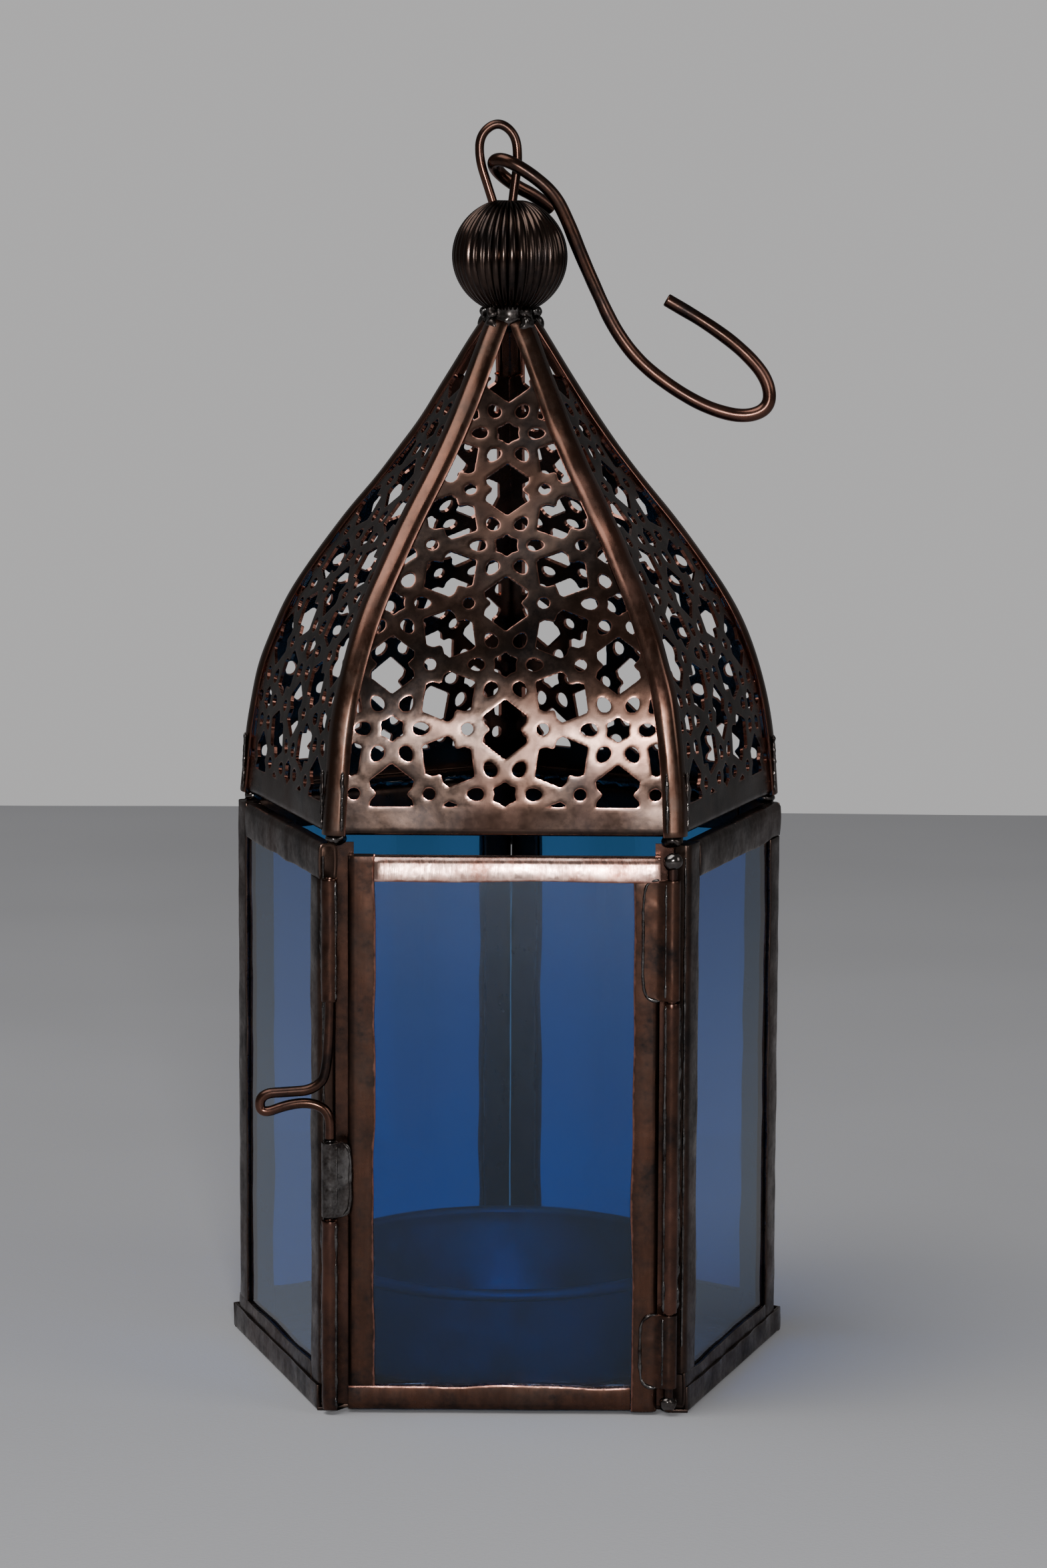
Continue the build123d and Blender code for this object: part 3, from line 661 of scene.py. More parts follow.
def blue_glass():
    """Blue glass with grime at its foot and faint smears. Lamps shine through it."""
    material, tree = new_material("blue_glass")
    place = tree.add("ShaderNodeTexCoord").outputs["Object"]
    grime = tree.add("ShaderNodeGroup", {"node_tree": grime_group()}, Vector=place, Foot=2.6 * MM,
                     Reach=9 * MM, Scale=330.0).outputs
    shade = tree.mix(tree.maths("MULTIPLY", grime["Mask"], 0.75), tint("glass"), tint("dust"))
    rough = tree.maths("ADD", tree.maths("MULTIPLY", grime["Mask"], 0.3),
                       tree.maths("MULTIPLY", grime["Smear"], 0.05))
    wave = tree.add("ShaderNodeBump", None, Strength=0.25, Distance=0.1 * MM,
                    Height=tree.noise(place, 45.0, 1.0))
    glass = tree.add("ShaderNodeBsdfPrincipled", None, Base_Color=shade, Roughness=rough, IOR=1.5,
                     Transmission_Weight=1.0, Normal=wave.outputs[0])
    clear = tree.add("ShaderNodeBsdfTransparent", None, Color=tint("glass"))
    shadow = tree.add("ShaderNodeLightPath").outputs["Is Shadow Ray"]
    mixed = tree.add("ShaderNodeMixShader", None, Fac=shadow)
    tree.tree.links.new(glass.outputs[0], mixed.inputs[1])
    tree.tree.links.new(clear.outputs[0], mixed.inputs[2])
    tree.add("ShaderNodeOutputMaterial", None, Surface=mixed.outputs[0])
    return material


def pale_cloth():
    """The pale cloth on the floor: a fine weave and soft creases."""
    material, tree = new_material("pale_cloth")
    place = tree.add("ShaderNodeTexCoord").outputs["Object"]
    cloud = tree.noise(place, 6.0, 4.0)
    base = np.array(tint("cloth"))
    shade = tree.mix(tree.spread(cloud, 0.3, 0.7), tuple(base * 0.94), tuple(base))
    weave = tree.add("ShaderNodeBump", None, Strength=0.25, Distance=0.15 * MM,
                     Height=tree.noise(place, 2200.0, 2.0))
    fold = tree.add("ShaderNodeBump", None, Strength=0.5, Distance=6 * MM, Height=tree.noise(place, 5.0, 2.0),
                    Normal=weave.outputs[0])
    cloth = tree.add("ShaderNodeBsdfPrincipled", None, Base_Color=shade, Roughness=0.9,
                     Normal=fold.outputs[0])
    tree.add("ShaderNodeOutputMaterial", None, Surface=cloth.outputs[0])
    return material


# ---------------------------------------------------------------- folded strips
def strip_section(flange, b):
    """The outline of a folded strip's outer sheet, from its front edge round the fold to its back edge:
    a flat with a slight crown, a quarter round, the web, a quarter round and a flat. Each row holds
    x, y and the distance to the nearer free edge."""
    flat = np.linspace(flange, b.fold_radius, 9)
    crown = b.pillow * np.sin(math.pi * np.clip(flat / flange, 0, 1)) ** 0.8
    quarter = np.linspace(0, math.pi / 2, 6)[1:]
    bend_x = b.fold_radius * (1 - np.sin(quarter))
    bend_y = b.fold_radius * (1 - np.cos(quarter))
    x = np.concatenate([flat, bend_x, bend_x[::-1], flat[::-1]])
    y = np.concatenate([-crown, bend_y, b.depth - bend_y[::-1], b.depth + crown[::-1]])
    return x, y


def strip(shell, flange, run, place, seed, b, lean):
    """One folded strip and its closed end: the section carried along a straight run, its free edges
    and faces slightly uneven. The front face's free edge stands out by the lean. place moves it from
    its own axes to the lantern's."""
    x, y = strip_section(flange, b)
    y = y - lean * np.clip(x / flange, 0, 1) * (y < b.depth / 2)
    z = np.linspace(0, run, max(int(run / 0.8), 8))[:, None]
    flat = xyz(x, 3 * (y > b.depth / 2), z)
    free = np.clip(x / flange, 0, 1) ** 2
    points = xyz(x + 0.13 * free * ripple(flat, seed, 11), y + 0.035 * ripple(flat, seed + 1, 6), z)
    heart = np.array((flange * 0.6, b.depth / 2, 0.0))
    middle = place(heart + (0, 0, run / 2))
    shell.grid(place(points), edge=np.broadcast_to(flange - x, points.shape[:2]), inside=middle)
    across = np.linspace(0.1, flange - 0.1, 3)[:, None]
    end = xyz(across, np.linspace(0.1, b.depth - 0.1, 3), run - 0.02)
    shell.grid(place(end), inside=middle)


def frame_strips(width, height, stile, rail):
    """The four strips of a frame: name, length, flange, turn about Y and starting corner."""
    return [
        ("left_stile", height - rail, stile, 0, (0, rail)),
        ("top_rail", width - stile, rail, 90, (stile, height)),
        ("right_stile", height - rail, stile, 180, (width, height - rail)),
        ("bottom_rail", width - stile, rail, -90, (width - stile, 0)),
    ]


def strip_piece(node, flange, run, turn, corner, shift, count, seed, material, body, lean=0.0):
    """Makes one strip of a frame in its place."""
    b = body_sizes()

    def moved(points):
        turned = tilt(np.asarray(points, float), math.radians(turn))
        return spin(turned + (corner[0], 0, corner[1]) + shift, count * STEP)

    shell = Shell()
    strip(shell, flange, run, moved, seed, b, lean)
    shell.piece(node + "_strip", material, body, "antique_copper", [node], thickness=b.sheet, bevel=0.07)


def finish_node(node, material):
    """Gives a frame node its finish."""
    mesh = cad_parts[node].data
    mesh.materials.clear()
    mesh.materials.append(material)


class LANTERN_OT_panels(bpy.types.Operator):
    """Folds the strips of the four fixed panels"""
    bl_idname = "lantern.panels"
    bl_label = "Fixed panels"

    def execute(self, context):
        b = body_sizes()
        shift = np.array((-b.panel_width / 2, -b.apothem, b.tray_thickness))
        seed = 100
        for side, count in list(TURNS.items())[1:]:
            strips = frame_strips(b.panel_width, b.panel_height, b.flange, b.flange)
            for name, run, flange, turn, corner in strips:
                node = f"{side}_panel_{name}"
                strip_piece(node, flange, run, turn, corner, shift, count, seed, fixed_copper(), "lantern")
                seed += 10
        for stop in ("front_stop_left", "front_stop_right"):
            finish_node(stop, wire_copper())
        return {"FINISHED"}


class LANTERN_OT_door(bpy.types.Operator):
    """Folds the strips of the door"""
    bl_idname = "lantern.door"
    bl_label = "Door"

    def execute(self, context):
        b = body_sizes()
        shift = np.array((-b.door_half_width, b.face_y, b.door_foot))
        seed = 500
        strips = frame_strips(2 * b.door_half_width, b.door_top - b.door_foot, b.door_stile, b.door_rail)
        for name, run, flange, turn, corner in strips:
            # The top rail takes the copper lightened into a painted highlight.
            material, lean = (rail_copper_painted_highlight(), b.rail_lean) if name == "top_rail" else (door_copper(), 0.0)
            strip_piece("door_" + name, flange, run, turn, corner, shift, 0, seed, material, "door", lean)
            seed += 10
        return {"FINISHED"}


class LANTERN_OT_glass(bpy.types.Operator):
    """Puts the blue glass in the frames"""
    bl_idname = "lantern.glass"
    bl_label = "Glass"

    def execute(self, context):
        glass = blue_glass()
        for side in list(TURNS)[1:]:
            finish_node(side + "_panel_glass", glass)
        finish_node("door_glass", glass)
        return {"FINISHED"}


# ---------------------------------------------------------------- tray and cup
def tray_outline(b):
    """The tray's rim line in plan, from the front right end round the back to the front left end."""
    reach = (b.apothem + b.sheet) / math.cos(HALF)
    corners = [(reach * math.cos(corner_turn(k)), reach * math.sin(corner_turn(k))) for k in range(SIDES)]
    right, left = np.array(corners[0]), np.array(corners[-1])
    inward_right, inward_left = unit(np.array(corners[1]) - right), unit(np.array(corners[-2]) - left)
    drop = (b.web_outer[1] - right[1]) / inward_right[1]
    return [right + inward_right * drop, *[np.array(c) for c in corners[1:-1]], left + inward_left * drop]


class LANTERN_OT_tray(bpy.types.Operator):
    """Folds the tray from one sheet, with a rim outside the four fixed panels"""
    bl_idname = "lantern.tray"
    bl_label = "Tray"

    def execute(self, context):
        b = body_sizes()
        corners = tray_outline(b)
        steps = np.linspace(0, 1, 40)[:, None]
        heart = np.array((0, 0, 30.0))
        bend = 0.45
        quarter = np.linspace(0, math.pi / 2, 5)
        share = np.concatenate([[0, 0.5], np.ones(len(quarter)), [1, 1]])
        inset = np.concatenate([[0, 0], bend * (1 - np.sin(quarter)), [0, 0]])
        rise = np.concatenate([[0, 0], bend * (1 - np.cos(quarter)), [b.tray_rim / 2, b.tray_rim]])
        shell = Shell()
        for number, (start, end) in enumerate(zip(corners, corners[1:])):
            line = start + (end - start) * steps
            outward = unit(np.array(((end - start)[1], -(end - start)[0])))
            plan = line[:, None] * share[None, :, None] - outward * inset[None, :, None]
            flat = xyz(plan[..., 0], plan[..., 1], rise)
            wobble = 0.12 * (rise / b.tray_rim) * ripple(flat, 700 + number, 9)
            points = flat + xyz(outward[0] * wobble, outward[1] * wobble, 0.1 * wobble)
            edge = np.broadcast_to(b.tray_rim - rise, points.shape[:2])
            shell.grid(points, edge=edge, inside=heart)
        width = b.door_half_width + b.door_gap
        front = np.array([corners[0], (width, corners[0][1]), (width, -b.tray_front),
                          (-width, -b.tray_front), (-width, corners[0][1]), corners[-1]])
        for start, end in zip(front, front[1:]):
            line = start + (end - start) * np.linspace(0, 1, 12)[:, None]
            plan = line[:, None] * np.linspace(0, 1, 3)[None, :, None]
            shell.grid(xyz(plan[..., 0], plan[..., 1], 0.0), inside=heart)
        shell.piece("folded_tray", fixed_copper(), "lantern", "antique_copper", ["base_tray"],
                    thickness=b.sheet, bevel=0.06)
        return {"FINISHED"}


class LANTERN_OT_cup(bpy.types.Operator):
    """Turns the cup, with its tapered wall and rolled rim"""
    bl_idname = "lantern.cup"
    bl_label = "Tealight cup"

    def execute(self, context):
        b = body_sizes()
        foot, rim = b.tray_thickness, top_of("tealight_cup")
        floor = b.cup_radius - b.cup_taper
        swell = np.linspace(-math.pi * 0.4, math.pi * 1.15, 15)
        bead_r = b.cup_radius + b.cup_bead + b.cup_bead * np.cos(swell)
        bead_z = rim - b.cup_bead + b.cup_bead * np.sin(swell)
        bend = np.linspace(-math.pi / 2, 0, 6)
        outer_r = floor + b.cup_wall - 0.9 + 0.9 * np.cos(bend)
        outer_z = foot + 0.9 + 0.9 * np.sin(bend)
        inner_r = np.array((b.cup_radius - 0.05, floor + 0.1, floor - 0.25, floor - 0.9, floor * 0.6, 0))
        bottom = foot + b.cup_wall
        inner_z = np.array((rim - 2.2, foot + 1.7, foot + 0.9, bottom, bottom, bottom))
        radius = np.concatenate([[0, floor * 0.6], outer_r, bead_r, inner_r])[:, None]
        height = np.concatenate([[foot, foot], outer_z, bead_z, inner_z])[:, None]
        turn = np.linspace(0, 2 * math.pi, 128, endpoint=False)
        points = xyz(radius * np.cos(turn), radius * np.sin(turn), height)
        dent = 0.08 * ripple(points, 31, 16) * (height > foot + 0.8)
        points += xyz(np.cos(turn) * dent, np.sin(turn) * dent, 0.0)
        shell = Shell()
        shell.grid(points, wrap=True)
        shell.piece("turned_cup", sooty_sheet(), "lantern", "cup_sheet", ["tealight_cup"])
        return {"FINISHED"}


# ---------------------------------------------------------------- roof
def roof_line(r):
    """The roof sheet's outer line from eave to neck: two Bezier curves, as apothem, height and length."""
    t = np.linspace(0, 1, 240)[:, None]
    span, lean = r.eave_apothem - r.shoulder_apothem, r.shoulder_apothem - r.neck_apothem
    eave = np.array((r.eave_apothem, r.eave_height))
    shoulder = np.array((r.shoulder_apothem, r.shoulder_height))
    neck = np.array((r.neck_apothem, r.neck_height))

    def bezier(a, b, c, d):
        return (1 - t) ** 3 * a + 3 * (1 - t) ** 2 * t * b + 3 * (1 - t) * t * t * c + t ** 3 * d

    lower = bezier(eave, eave + (-0.07 * span, 12.8), shoulder + (0.89 * span, -15.5), shoulder)
    upper = bezier(shoulder, shoulder + (-0.59 * lean, 11.3), neck + (0.32 * lean, -7.9), neck)
    line = np.vstack([lower, upper[1:]])
    run = np.append(0, np.cumsum(np.linalg.norm(np.diff(line, axis=0), axis=1)))
    return line[:, 0], line[:, 1], run


def roof_at(s, r):
    """Apothem, height, and the outward normal's two parts at a length s above the eave. Under one fold
    radius the line turns a quarter round inwards, and below that it runs level as the lip."""
    apothem, height, run = roof_line(r)
    slope_a, slope_z = np.gradient(apothem, run), np.gradient(height, run)
    a, z = np.interp(s, run, apothem), np.interp(s, run, height)
    out, up = np.interp(s, run, slope_z), -np.interp(s, run, slope_a)
    fold = r.eave_fold
    angle = np.clip((fold - s) / fold, 0, math.pi / 2)
    level = np.clip(fold - s - fold * math.pi / 2, 0, None)
    below = s < fold
    base = np.interp(fold, run, apothem)
    a = np.where(below, base - fold * (1 - np.cos(angle)) - level, a)
    z = np.where(below, r.eave_height + fold * (1 - np.sin(angle)), z)
    return a, z, np.where(below, np.cos(angle), out), np.where(below, -np.sin(angle), up)


def polygon_distance(x, y, corners, rounding):
    """Distance to a polygon's outline, negative inside, its corners rounded: the nearest of the
    distances to its edges, for a polygon drawn in by the rounding and grown again by it."""
    corners = np.array(corners, float)
    corners *= 1 - rounding / np.linalg.norm(corners, axis=1).max()
    best, inside = np.full(x.shape, np.inf), np.zeros(x.shape, bool)
    for (x0, y0), (x1, y1) in zip(corners, np.roll(corners, -1, axis=0)):
        ex, ey, wx, wy = x1 - x0, y1 - y0, x - x0, y - y0
        t = np.clip((wx * ex + wy * ey) / (ex * ex + ey * ey), 0, 1)
        best = np.minimum(best, np.hypot(wx - ex * t, wy - ey * t))
        rises = (y0 > y) != (y1 > y)
        inside ^= rises & (wx < ex * wy / np.where(ey == 0, 1, ey))
    return np.where(inside, -best, best) - rounding


def hole_distance(kind, x, y, r):
    """Distance to the outline of one kind of hole centred on the origin, negative inside."""
    if kind == "star":
        turn = np.radians(90 + 30 * np.arange(12))
        radius = np.where(np.arange(12) % 2, r.star_inner, r.star_outer)
        return polygon_distance(x, y, np.stack([radius * np.cos(turn), radius * np.sin(turn)], 1), 0.16)
    if kind == "knot":
        half, wide = r.knot_length, r.knot_width
        quarter = [(0, half), (wide, 0.44 * half), (0.95 * wide, 0.26 * half), (r.knot_waist, 0.07 * half)]
        right = quarter + [(u, -v) for u, v in reversed(quarter)]
        left = [(-u, v) for u, v in reversed(right[1:-1])]
        return polygon_distance(x, y, right + left, 0.22)
    if kind == "petal":
        taper = 1 - 0.16 * np.clip(x / r.petal_length, -1, 1)
        return (np.hypot(x / r.petal_length, y / (r.petal_width * taper)) - 1) * r.petal_width
    return np.hypot(x, y) - r.dot_radius


def hole_places(r):
    """Every hole of a sheet as kind, x, height along the sheet, and turn: stars on a triangular lattice,
    six petals round each, a knot between each two, and a dot between each three."""
    across = r.star_pitch * math.sin(math.radians(60))
    places = []
    for column in range(-3, 4):
        for row in range(-1, 6):
            x, s = column * across, r.first_star + r.star_pitch * (row + (column % 2) / 2)
            rings = (
                ("star", 0, (0,), 0),
                ("petal", r.petal_ring, HEXAGON, 0),
                ("knot", r.star_pitch / 2, (30, 90, 150), -90),
                ("dot", r.star_pitch / math.sqrt(3), (0, 60), 0),
            )
            for kind, reach, turns, extra in rings:
                for turn in turns:
                    angle = math.radians(turn)
                    places.append((kind, x + reach * math.cos(angle), s + reach * math.sin(angle),
                                   math.radians(turn + extra)))
    return places


def metal_left(x, s, r):
    """How far each point of the developed sheet is inside the metal: from the holes within their window,
    and from the sheet's own edges."""
    a = roof_at(s, r)[0]
    _, height, run = roof_line(r)
    top = np.interp(r.sheet_top, height, run)
    side = (a * math.tan(HALF) - np.abs(x)) - 0.03
    opened = np.full(x.shape, FAR)
    for kind, cx, cs, turn in hole_places(r):
        near = (np.abs(x - cx) < 4.4) & (np.abs(s - cs) < 4.4)
        if not near.any():
            continue
        u, v = x[near] - cx, s[near] - cs
        c, q = math.cos(turn), math.sin(turn)
        opened[near] = np.minimum(opened[near], hole_distance(kind, c * u + q * v, -q * u + c * v, r))
    window = np.minimum(s - r.plain_band, side - r.margin / math.cos(HALF))
    holes = np.maximum(opened, -window)
    ragged = 0.25 * np.sin(2.3 * x + 0.7) + 0.15 * np.sin(5.1 * x)
    return np.minimum(holes, np.minimum(side, top + ragged - s))


def cut_sheet(x, s, left):
    """The triangles of a grid that lie in the metal, those across an outline cut along it. Returns the
    points' x, s and left, and the triangles."""
    rows, columns = x.shape
    i, j = np.meshgrid(np.arange(rows - 1), np.arange(columns - 1), indexing="ij")
    corner = (i * columns + j).ravel()
    halves = [np.stack([corner, corner + 1, corner + columns + 1], 1),
              np.stack([corner, corner + columns + 1, corner + columns], 1)]
    triangles = np.vstack(halves)
    values = np.stack([x.ravel(), s.ravel(), left.ravel()], 1)
    short = np.abs(values[:, 2]) < 0.04
    values[short, 2] = np.where(values[short, 2] < 0, -0.04, 0.04)
    inside = values[triangles, 2] > 0
    kept, extra, first_new = [triangles[inside.all(axis=1)]], [], len(values)
    for number, odd in ((1, True), (2, False)):
        chosen = inside.sum(axis=1) == number
        lead = np.argmax(inside[chosen] == odd, axis=1)
        turned = np.take_along_axis(triangles[chosen], (lead[:, None] + np.arange(3)) % 3, 1)
        a, b, c = values[turned[:, 0]], values[turned[:, 1]], values[turned[:, 2]]
        ab = a + (b - a) * (a[:, 2] / (a[:, 2] - b[:, 2]))[:, None]
        ac = a + (c - a) * (a[:, 2] / (a[:, 2] - c[:, 2]))[:, None]
        new_ab = first_new + np.arange(len(ab))
        new_ac = new_ab + len(ab)
        first_new += 2 * len(ab)
        extra += [ab, ac]
        if odd:
            kept.append(np.stack([turned[:, 0], new_ab, new_ac], 1))
        else:
            kept.append(np.stack([new_ab, turned[:, 1], turned[:, 2]], 1))
            kept.append(np.stack([new_ab, turned[:, 2], new_ac], 1))
    values = np.vstack([values, *extra])
    triangles = np.vstack(kept)
    used = np.unique(triangles)
    number = np.zeros(len(values), int)
    number[used] = np.arange(len(used))
    return values[used], number[triangles]


class LANTERN_OT_roof_sheets(bpy.types.Operator):
    """Pierces and bends the five roof sheets"""
    bl_idname = "lantern.roof_sheets"
    bl_label = "Roof sheets"

    def execute(self, context):
        r = Millimetres("lantern_roof")
        thickness = Millimetres("lantern_body").sheet
        _, height, run = roof_line(r)
        top = np.interp(r.sheet_top, height, run) + 1
        wide = r.eave_apothem * math.tan(HALF) + 0.4
        across = np.arange(-wide, wide + r.grain, r.grain)
        along = np.arange(r.eave_fold * (1 - math.pi / 2) - r.eave_lip, top, r.grain)
        x, s = np.meshgrid(across, along)
        values, triangles = cut_sheet(x, s, metal_left(x, s, r))
        x, s, left = values.T
        a, z, out, up = roof_at(s, r)
        for number, (name, count) in enumerate(TURNS.items()):
            flat = xyz(x, s, 0.0)
            swell = 0.12 * ripple(flat, 800 + number, 19) + 0.02 * ripple(flat, 820 + number, 7)
            calm = smooth_step(s / 4)
            edge_drop = 0.02 * np.clip(1 - left / 0.2, 0, 1) ** 2
            lift = swell * calm - edge_drop
            points = spin(xyz(x, -(a + out * lift), z + up * lift), count * STEP)
            shell = Shell()
            shell.add(points, triangles, edge=left, inside=ROOF_HEART)
            shell.piece("roof_sheet_" + name, pierced_copper(), "lantern", "pierced_sheet",
                        ["roof_gore_" + name], thickness=thickness, crease=35)
        return {"FINISHED"}


class LANTERN_OT_ribs(bpy.types.Operator):
    """Bends the five ribs over the roof's corners"""
    bl_idname = "lantern.ribs"
    bl_label = "Roof ribs"

    def execute(self, context):
        r = Millimetres("lantern_roof")
        apothem, height, run = roof_line(r)
        s = np.linspace(0, run[-1], 90)
        a, z = np.interp(s, run, apothem), np.interp(s, run, height)
        radius = a / math.cos(HALF)
        # Axes at the corner: outwards, sideways and up.
        along = unit(xyz(np.gradient(radius, s), 0.0, np.gradient(z, s)))
        out = xyz(along[:, 2], 0.0, -along[:, 0])
        slope = unit(xyz(np.gradient(z, s), 0.0, -np.gradient(a, s)))
        face = xyz(slope[:, 0] * math.cos(HALF), slope[:, 0] * math.sin(HALF), slope[:, 2])
        leg = unit(np.cross(face, along))
        leg *= np.sign(leg[:, 1:2])
        fall = (-np.sum(leg * out, axis=1) / leg[:, 1])[:, None]
        rank = np.linspace(-1, 1, 17)
        room = radius[:, None] * math.sin(HALF) + 0.35
        across = np.minimum(r.rib_width / 2, room) * rank[None, :]
        soft = 0.5
        sink = fall * (np.sqrt(across ** 2 + soft ** 2) - soft)
        crest = r.rib_thickness * np.sqrt(1 + fall ** 2) - fall * soft + 0.02
        tuck = 0.35 * smooth_step((np.abs(rank) - 0.72) / 0.28)
        for name, count in RIB_TURNS.items():
            place = xyz(across, s[:, None], 0.0)
            lift = crest - sink - tuck + 0.06 * ripple(place, 900 + count, 8)
            side = across + 0.08 * ripple(place, 920 + count, 14)
            corner = xyz(radius, 0.0, z)[:, None] + lift[..., None] * out[:, None] + xyz(0.0, side, 0.0)
            points = spin(corner, corner_turn(count))
            shell = Shell()
            edge = np.broadcast_to(r.rib_width / 2 - np.abs(across), points.shape[:2])
            shell.grid(points, edge=edge, inside=ROOF_HEART)
            shell.piece("roof_strip_" + name, rib_copper(), "lantern", "antique_copper",
                        ["roof_rib_" + name], thickness=r.rib_thickness, bevel=0.12)
        return {"FINISHED"}


# ---------------------------------------------------------------- finial, loop and hook
class LANTERN_OT_finial(bpy.types.Operator):
    """Makes the fluted ball and the lumpy solder under it"""
    bl_idname = "lantern.finial"
    bl_label = "Finial"

    def execute(self, context):
        r = Millimetres("lantern_roof")
        polar = np.linspace(0, math.pi, 73)[:, None]
        turn = np.linspace(0, 2 * math.pi, 40 * 10, endpoint=False)[None, :]
        heading = xyz(np.sin(polar) * np.cos(turn), np.sin(polar) * np.sin(turn), np.cos(polar))
        uneven = turn + 0.025 * np.sin(3 * turn + 1) + 0.018 * np.sin(7 * turn)
        fade = smooth_step(np.sin(polar) / 0.45)
        crease = (1 - np.abs(np.sin(20 * uneven))) ** 1.6
        depth = r.flute_depth * fade * (1 + 0.35 * ripple(heading, 41, 1.2))
        radius = r.ball_radius - depth * crease + 0.07 * ripple(heading, 42, 2.4)
        points = heading * radius[..., None] + (0, 0, r.ball_height)
        dimple = 0.5 * np.exp(-(polar / 0.16) ** 2)
        points[..., 2] -= dimple
        shell = Shell()
        shell.grid(points, wrap=True)
        shell.piece("fluted_ball", bead_copper(), "lantern", "finial", ["finial_ball"], crease=75)

        seat_z = np.array((-1.6, -1.2, -0.2, 0.5, 1.3, 2.0, 2.4))[:, None] + r.neck_height
        seat_r = np.array((0.0, 2.5, 3.0, 2.75, 2.7, 3.1, 0.0))[:, None]
        around = np.linspace(0, 2 * math.pi, 60, endpoint=False)
        points = xyz(seat_r * np.cos(around), seat_r * np.sin(around), seat_z)
        lumps = 1 + 0.06 * ripple(points, 51, 2.2)
        shell = Shell()
        shell.grid(points * xyz(lumps, lumps, 1.0), wrap=True)
        rng = np.random.default_rng(52)
        for k in range(SIDES):
            angle = corner_turn(k)
            reach = 3.1 + 0.2 * rng.random()
            for lift, size in ((-0.5, 0.95), (0.9, 0.7)):
                centre = (reach * math.cos(angle), reach * math.sin(angle), r.neck_height + lift)
                shell.lump(centre, (size, size, size * 1.1), 60 + 2 * k + int(lift > 0), 0.18)
        shell.piece("neck_solder", soft_solder(), "lantern", "solder", ["finial_collar"], crease=75)
        return {"FINISHED"}


def wire_piece(name, points, radius, replaced, body, seed):
    """A drawn wire: a tube on a smooth line through the run of the points, slightly uneven, its cut
    ends softened."""
    line = smooth_line(points, 16)
    run = np.append(0, np.cumsum(np.linalg.norm(np.diff(line, axis=0), axis=1)))
    ends = np.minimum(run, run[-1] - run)[:, None]
    uneven = 1 + 0.02 * ripple(line, seed, 7)[:, None] + 0.012 * ripple(line, seed + 1, 2.5)[:, None]
    shell = Shell()
    shell.tube(line, radius * uneven * (1 - 0.14 * np.clip(1 - ends / 0.15, 0, 1) ** 2), around=28)
    return shell.piece(name, wire_copper(), body, "copper_wire", [replaced])


class LANTERN_OT_loop(bpy.types.Operator):
    """Bends the hanging loop"""
    bl_idname = "lantern.loop"
    bl_label = "Hanging loop"

    def execute(self, context):
        r = Millimetres("lantern_roof")
        root = r.ball_height + r.ball_radius - 1.45
        side = [(-1.75, 0), (-2.65, 2.8), (-3.75, 6.2), (-3.65, 9.1), (-1.5, 10.7), (0.65, 9.1), (0.95, 6.0),
                (0.5, 2.8), (0.15, 0)]
        points = [(x, 0, root + z) for x, z in side]
        wire_piece("bent_loop", points, Millimetres("lantern_wire").loop_wire, "hanging_loop", "lantern", 71)
        return {"FINISHED"}


class LANTERN_OT_hook(bpy.types.Operator):
    """Bends the S-hook"""
    bl_idname = "lantern.hook"
    bl_label = "S-hook"

    def execute(self, context):
        r = Millimetres("lantern_roof")
        bends = [
            (5.0, 4.3, 5.6), (2.9, 3.2, 7.3), (0.6, 2.3, 8.4), (-1.7, 1.5, 10.2),
            (-2.1, -0.5, 11.5), (-0.5, -2.0, 11.6), (2.6, -2.1, 9.8), (5.3, -1.9, 7.5),
            (6.9, -1.3, 4.4), (8.4, -0.7, 0.6), (10.4, -0.2, -3.9), (12.6, 0.0, -8.6),
            (15.6, 0.0, -12.6), (19.9, 0.0, -15.9), (24.3, 0.0, -18.3), (28.7, 0.0, -19.3),
            (31.6, 0.0, -18.0), (31.3, 0.0, -14.7), (28.4, 0.0, -11.3), (24.1, 0.0, -8.1), (18.9, 0.0, -5.1),
        ]
        points = [(x, y, r.ball_height + z) for x, y, z in bends]
        wire_piece("bent_hook", points, Millimetres("lantern_wire").hook_wire, "s_hook", "hook", 73)
        return {"FINISHED"}


